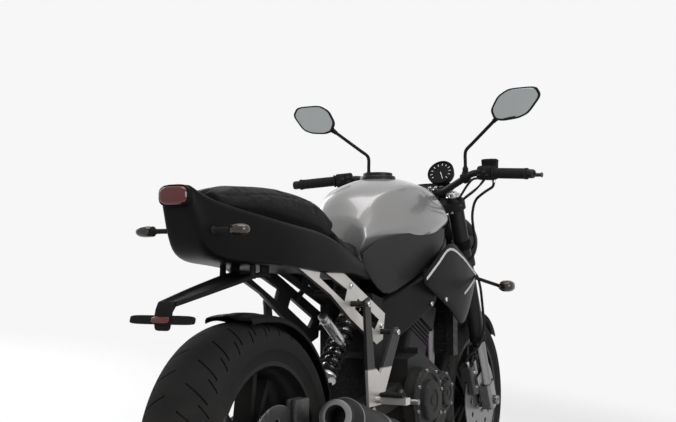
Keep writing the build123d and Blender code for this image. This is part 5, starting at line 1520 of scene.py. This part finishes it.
up = along_bore(1, 0) - along_bore(0, 0)
caps = [lathe("plug_cap", along_bore(228, y) * MM, up, [(-2, 14), (4, 15), (6, 12), (16, 11), (20, 8)], 20)
        for y in (55, -55)]
caps += [pipe("lead", [along_bore(244, y), along_bore(262, y * 0.9), along_bore(262, y * 0.5, -50),
                       along_bore(236, y * 0.4, -96)], 3.6, 10) for y in (55, -55)]
settle(gather("plug_caps", caps), "frame", "grip_rubber")
settle(lathe("oil_filter", at(905, -40, 330), (1, 0, -0.1),
             [(0, 30), (10, 34), (44, 34), (50, 31), (54, 24), (54, 12), (62, 11), (63, 8)], 32), "frame", "fork_dark")
HOSES = ([(1042, -112, 740), (1012, -130, 736), (962, -112, 700), (922, -96, 672)],
         [(1030, 112, 510), (985, 118, 472), (930, 124, 440), (900, 128, 420)])
settle(gather("coolant_hoses", [pipe("hose", points, 15, 18) for points in HOSES]), "frame", "hose_rubber", angle=60)
BANDS = ((at(1014, -129.6, 736), (-0.95, -0.3, -0.1)), (at(930, 124, 440), (-0.8, 0.1, -0.5)))
bands = [ring("band", spot, way, [(-5, 15), (-5, 17), (5, 17), (5, 15)], 24) for spot, way in BANDS]
settle(gather("hose_bands", bands), "frame", "alloy")

# %% Radiator core and guard
fins = []
for k in range(36):
    z = 500 + 244 * k / 35
    for x in (1057, 1027) if k % 3 == 0 else (1057,):
        fins.append(brick("fin", (x, -117, z - 0.8), (x + 4, 117, z + 0.8), 0))
settle(gather("radiator_fins", fins), "frame", "engine_black")
bars = [brick("bar", (1062, y - 1.5, 494), (1065, y + 1.5, 750), 0) for y in range(-110, 111, 20)]
bars += [brick("bar", (1060, -120, z - 3), (1065, 120, z + 3), 0) for z in (496, 622, 748)]
settle(gather("radiator_guard", bars), "frame", "trim_black")
settle(lathe("radiator_cap", at(1044, 124, 752), UPWARD,
             [(-2, 12), (4, 12), (4, 17), (10, 17.5), (12, 15), (12, 4)], 12), "frame", "alloy")

# %% Silencer and its link pipe
SILENCER_FRONT, SILENCER_REAR = at(440, -194, 300), at(70, -228, 405)
CAN_FRONT = [(0, 24), (2, 30), (26, 46), (34, 51), (44, 52)]
CAN_REAR = ((-34, 52), (-20, 51), (-6, 45), (0, 41), (18, 40), (26, 38), (26, 26), (22, 24.5), (-30, 24))
way = (SILENCER_REAR - SILENCER_FRONT).normalized()
long = (SILENCER_REAR - SILENCER_FRONT).length / MM
can = lathe("silencer", SILENCER_FRONT, way, CAN_FRONT + [(long + d, r) for d, r in CAN_REAR], 48)
settle(can, "frame", "exhaust_steel", FINISHES["engine_black"], angle=30)
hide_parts("muffler")
bands = [ring("band", SILENCER_FRONT + way * d * MM, way, [(-w, 51), (-w, 53.4), (w, 53.4), (w, 51)])
         for d, w in ((40, 3), (150, 11), (long - 30, 3))]
bands.append(ring("tip", SILENCER_REAR + way * 24 * MM, way,
                  [(-4, 39), (-3, 40.6), (2, 40), (3.4, 37), (3.4, 27), (1, 25.4), (-8, 25)]))
settle(gather("silencer_bands", bands), "frame", "steel")
link = [pipe("link", [(800, -64, 222), (720, -120, 226), (610, -168, 250), (500, -188, 284), (436, -194.4, 301)],
             25, 24),
        plate("strap", [(386, 325), (420, 325), (426, 372), (408, 391), (384, 384)], -158, -150)]
link = gather("link_pipe", link)
settle(link, "frame", "exhaust_steel", angle=60)
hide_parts("muffler")

# %% Header flanges
out = Vector((10, 0, -4.7)).normalized()
ports = [at(945, y, 599.7) for y in (70, -70)]
flanges = [ring("flange", spot, out, [(0, 21), (0, 33), (6, 33), (7, 31), (7, 21)], 32) for spot in ports]
settle(gather("header_flanges", flanges), "frame", "steel")
nuts = [(spot + (out.cross(ASIDE) * 26 * k + out * 7) * MM, out) for spot in ports for k in (1, -1)]
settle(stamp("header_nuts", hex_nut(7, 7), nuts), "frame", "alloy")

# %% [markdown]
# ## Trim and fasteners
# The shroud's silver edge is a strip laid on the panel itself: rays are cast from the side, and the strip follows
# where they land. Bolts and nuts come from one table.

# %% Silver edge on the shrouds
EDGE_LINES = {"upper": [(712, 736), (800, 786), (883, 828), (985, 806), (1062, 777), (1150, 749)],
              "lower": [(1146, 744), (1100, 728), (1046, 708), (1000, 690)]}
EDGE_LOW, EDGE_HIGH = 10, 2  # the strip's two edges below its line
FAR_ASIDE, PANEL_ASIDE = 400, 184  # where a ray starts, and where the panel is taken to be if it finds none

for side, hand in SIDES:
    tree = skin_tree(bpy.data.objects["shroud_" + hand])
    out = ASIDE * side
    for word, line in EDGE_LINES.items():
        rings = []
        for x, z in smooth_rows(line, 4):
            hits = []
            for level in (z - EDGE_LOW, z - EDGE_HIGH):
                hit = tree.ray_cast(PARK @ at(x, side * FAR_ASIDE, level), PARK.to_3x3() @ -out)[0]
                hits.append(PARK.inverted() @ hit if hit else at(x, side * PANEL_ASIDE, level))
            low, high = hits
            rings.append([low - out * MM, high - out * MM, high + out * 2 * MM, low + out * 2 * MM])
        strip = loft("shroud_edge_" + word + "_" + hand, rings)
        soften(strip, 0.8, 40)
        settle(strip, "frame", "steel", FINISHES["casting_silver"])

# %% Bolts and nuts
def around(x, z, face, side, radius, count):
    """Places on a circle on a side face, pointing outwards."""
    return [(at(x, side * face, z) + spoke(turn) * radius * MM, ASIDE * side) for turn in turns(count)]


def both_sides(*places):
    return [(at(x, side * y, z), ASIDE * side) for x, y, z in places for side in (1, -1)]


BOLT_TABLE = [  # name, body, slot, head, places
    ("disc_bolts_rear", "rear_wheel", "steel", socket_bolt(6, 5), around(0, REAR_R, 102, -1, 47, 5)),
    ("sprocket_nuts", "rear_wheel", "steel", hex_nut(8, 7), around(0, REAR_R, 106, 1, 50, 5)),
    ("disc_bolts_front", "front_wheel", "steel", socket_bolt(6, 4),
     around(WHEELBASE, FRONT_R, 75, 1, 44, 5) + around(WHEELBASE, FRONT_R, 75, -1, 44, 5)),
    ("bracket_bolts", "frame", "alloy", socket_bolt(8, 7),
     both_sides((550, 158, 582), (365, 158, 664), (438, 158, 412))),
    ("subframe_bolts", "frame", "alloy", socket_bolt(8, 6),
     both_sides((548, 110, 600), (360, 110, 712), (90, 110, 780))),
    ("shroud_bolts", "frame", "alloy", socket_bolt(7, 5), both_sides((849, 185, 668), (785, 164, 656))),
    ("pivot_nuts", "frame", "steel", hex_nut(15, 10, 0.4), both_sides((585, 151, 405))),
    ("sprocket_cover_bolts", "frame", "steel", socket_bolt(5, 5),
     [(at(655, 134, 400) + spoke(turn) * 40 * MM, ASIDE) for turn in (0.5, 2.2, 3.9)])]
for name, body, slot, head, places in BOLT_TABLE:
    settle(stamp(name, head, places), body, slot)

# %% Chain guard
guard = plate("guard", [(70, 428), (330, 452), (500, 462), (512, 470), (506, 480), (330, 472), (60, 446)], 96, 116)
settle(gather("chain_guard", [guard, brick("tab", (296, 78, 430), (330, 99, 437))]), "frame", "trim_black")

# %% [markdown]
# The caliper is two halves and a bridge over the rear disc. The bright reservoir of the shock absorber lies below
# the silver casting, where the photograph shows it.

# %% Rear caliper, footrest rubbers and the shock's reservoir
caliper = gather("caliper_body", [brick("half", (64, -116.5, 356), (130, -104, 442), 6),
                                  brick("half", (64, -97, 356), (130, -84.5, 442), 6),
                                  brick("bridge", (70, -105, 376), (124, -96, 441), 3)])
settle(caliper, "frame", "caliper_black")
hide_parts("rear_caliper")
RIBS = [(0, 5)] + [(k * 6 + d, r) for k in range(10) for d, r in ((2, 5), (3, 6.4), (5, 6.4), (6, 5))] + [(66, 5)]
pads = [lathe("rubber", at(x, side * 178, 424), ASIDE * side, RIBS, 16) for side in (1, -1) for x in (398, 408, 418)]
settle(gather("footrest_rubbers", pads), "frame", "grip_rubber")
settle(lathe("shock_reservoir", at(286, -64, 634), (116, 0, -78),
             [(0, 8), (2, 13), (22, 13), (23, 15), (112, 15), (114, 12), (126, 12), (130, 7), (136, 6)]),
       "frame", "alloy")
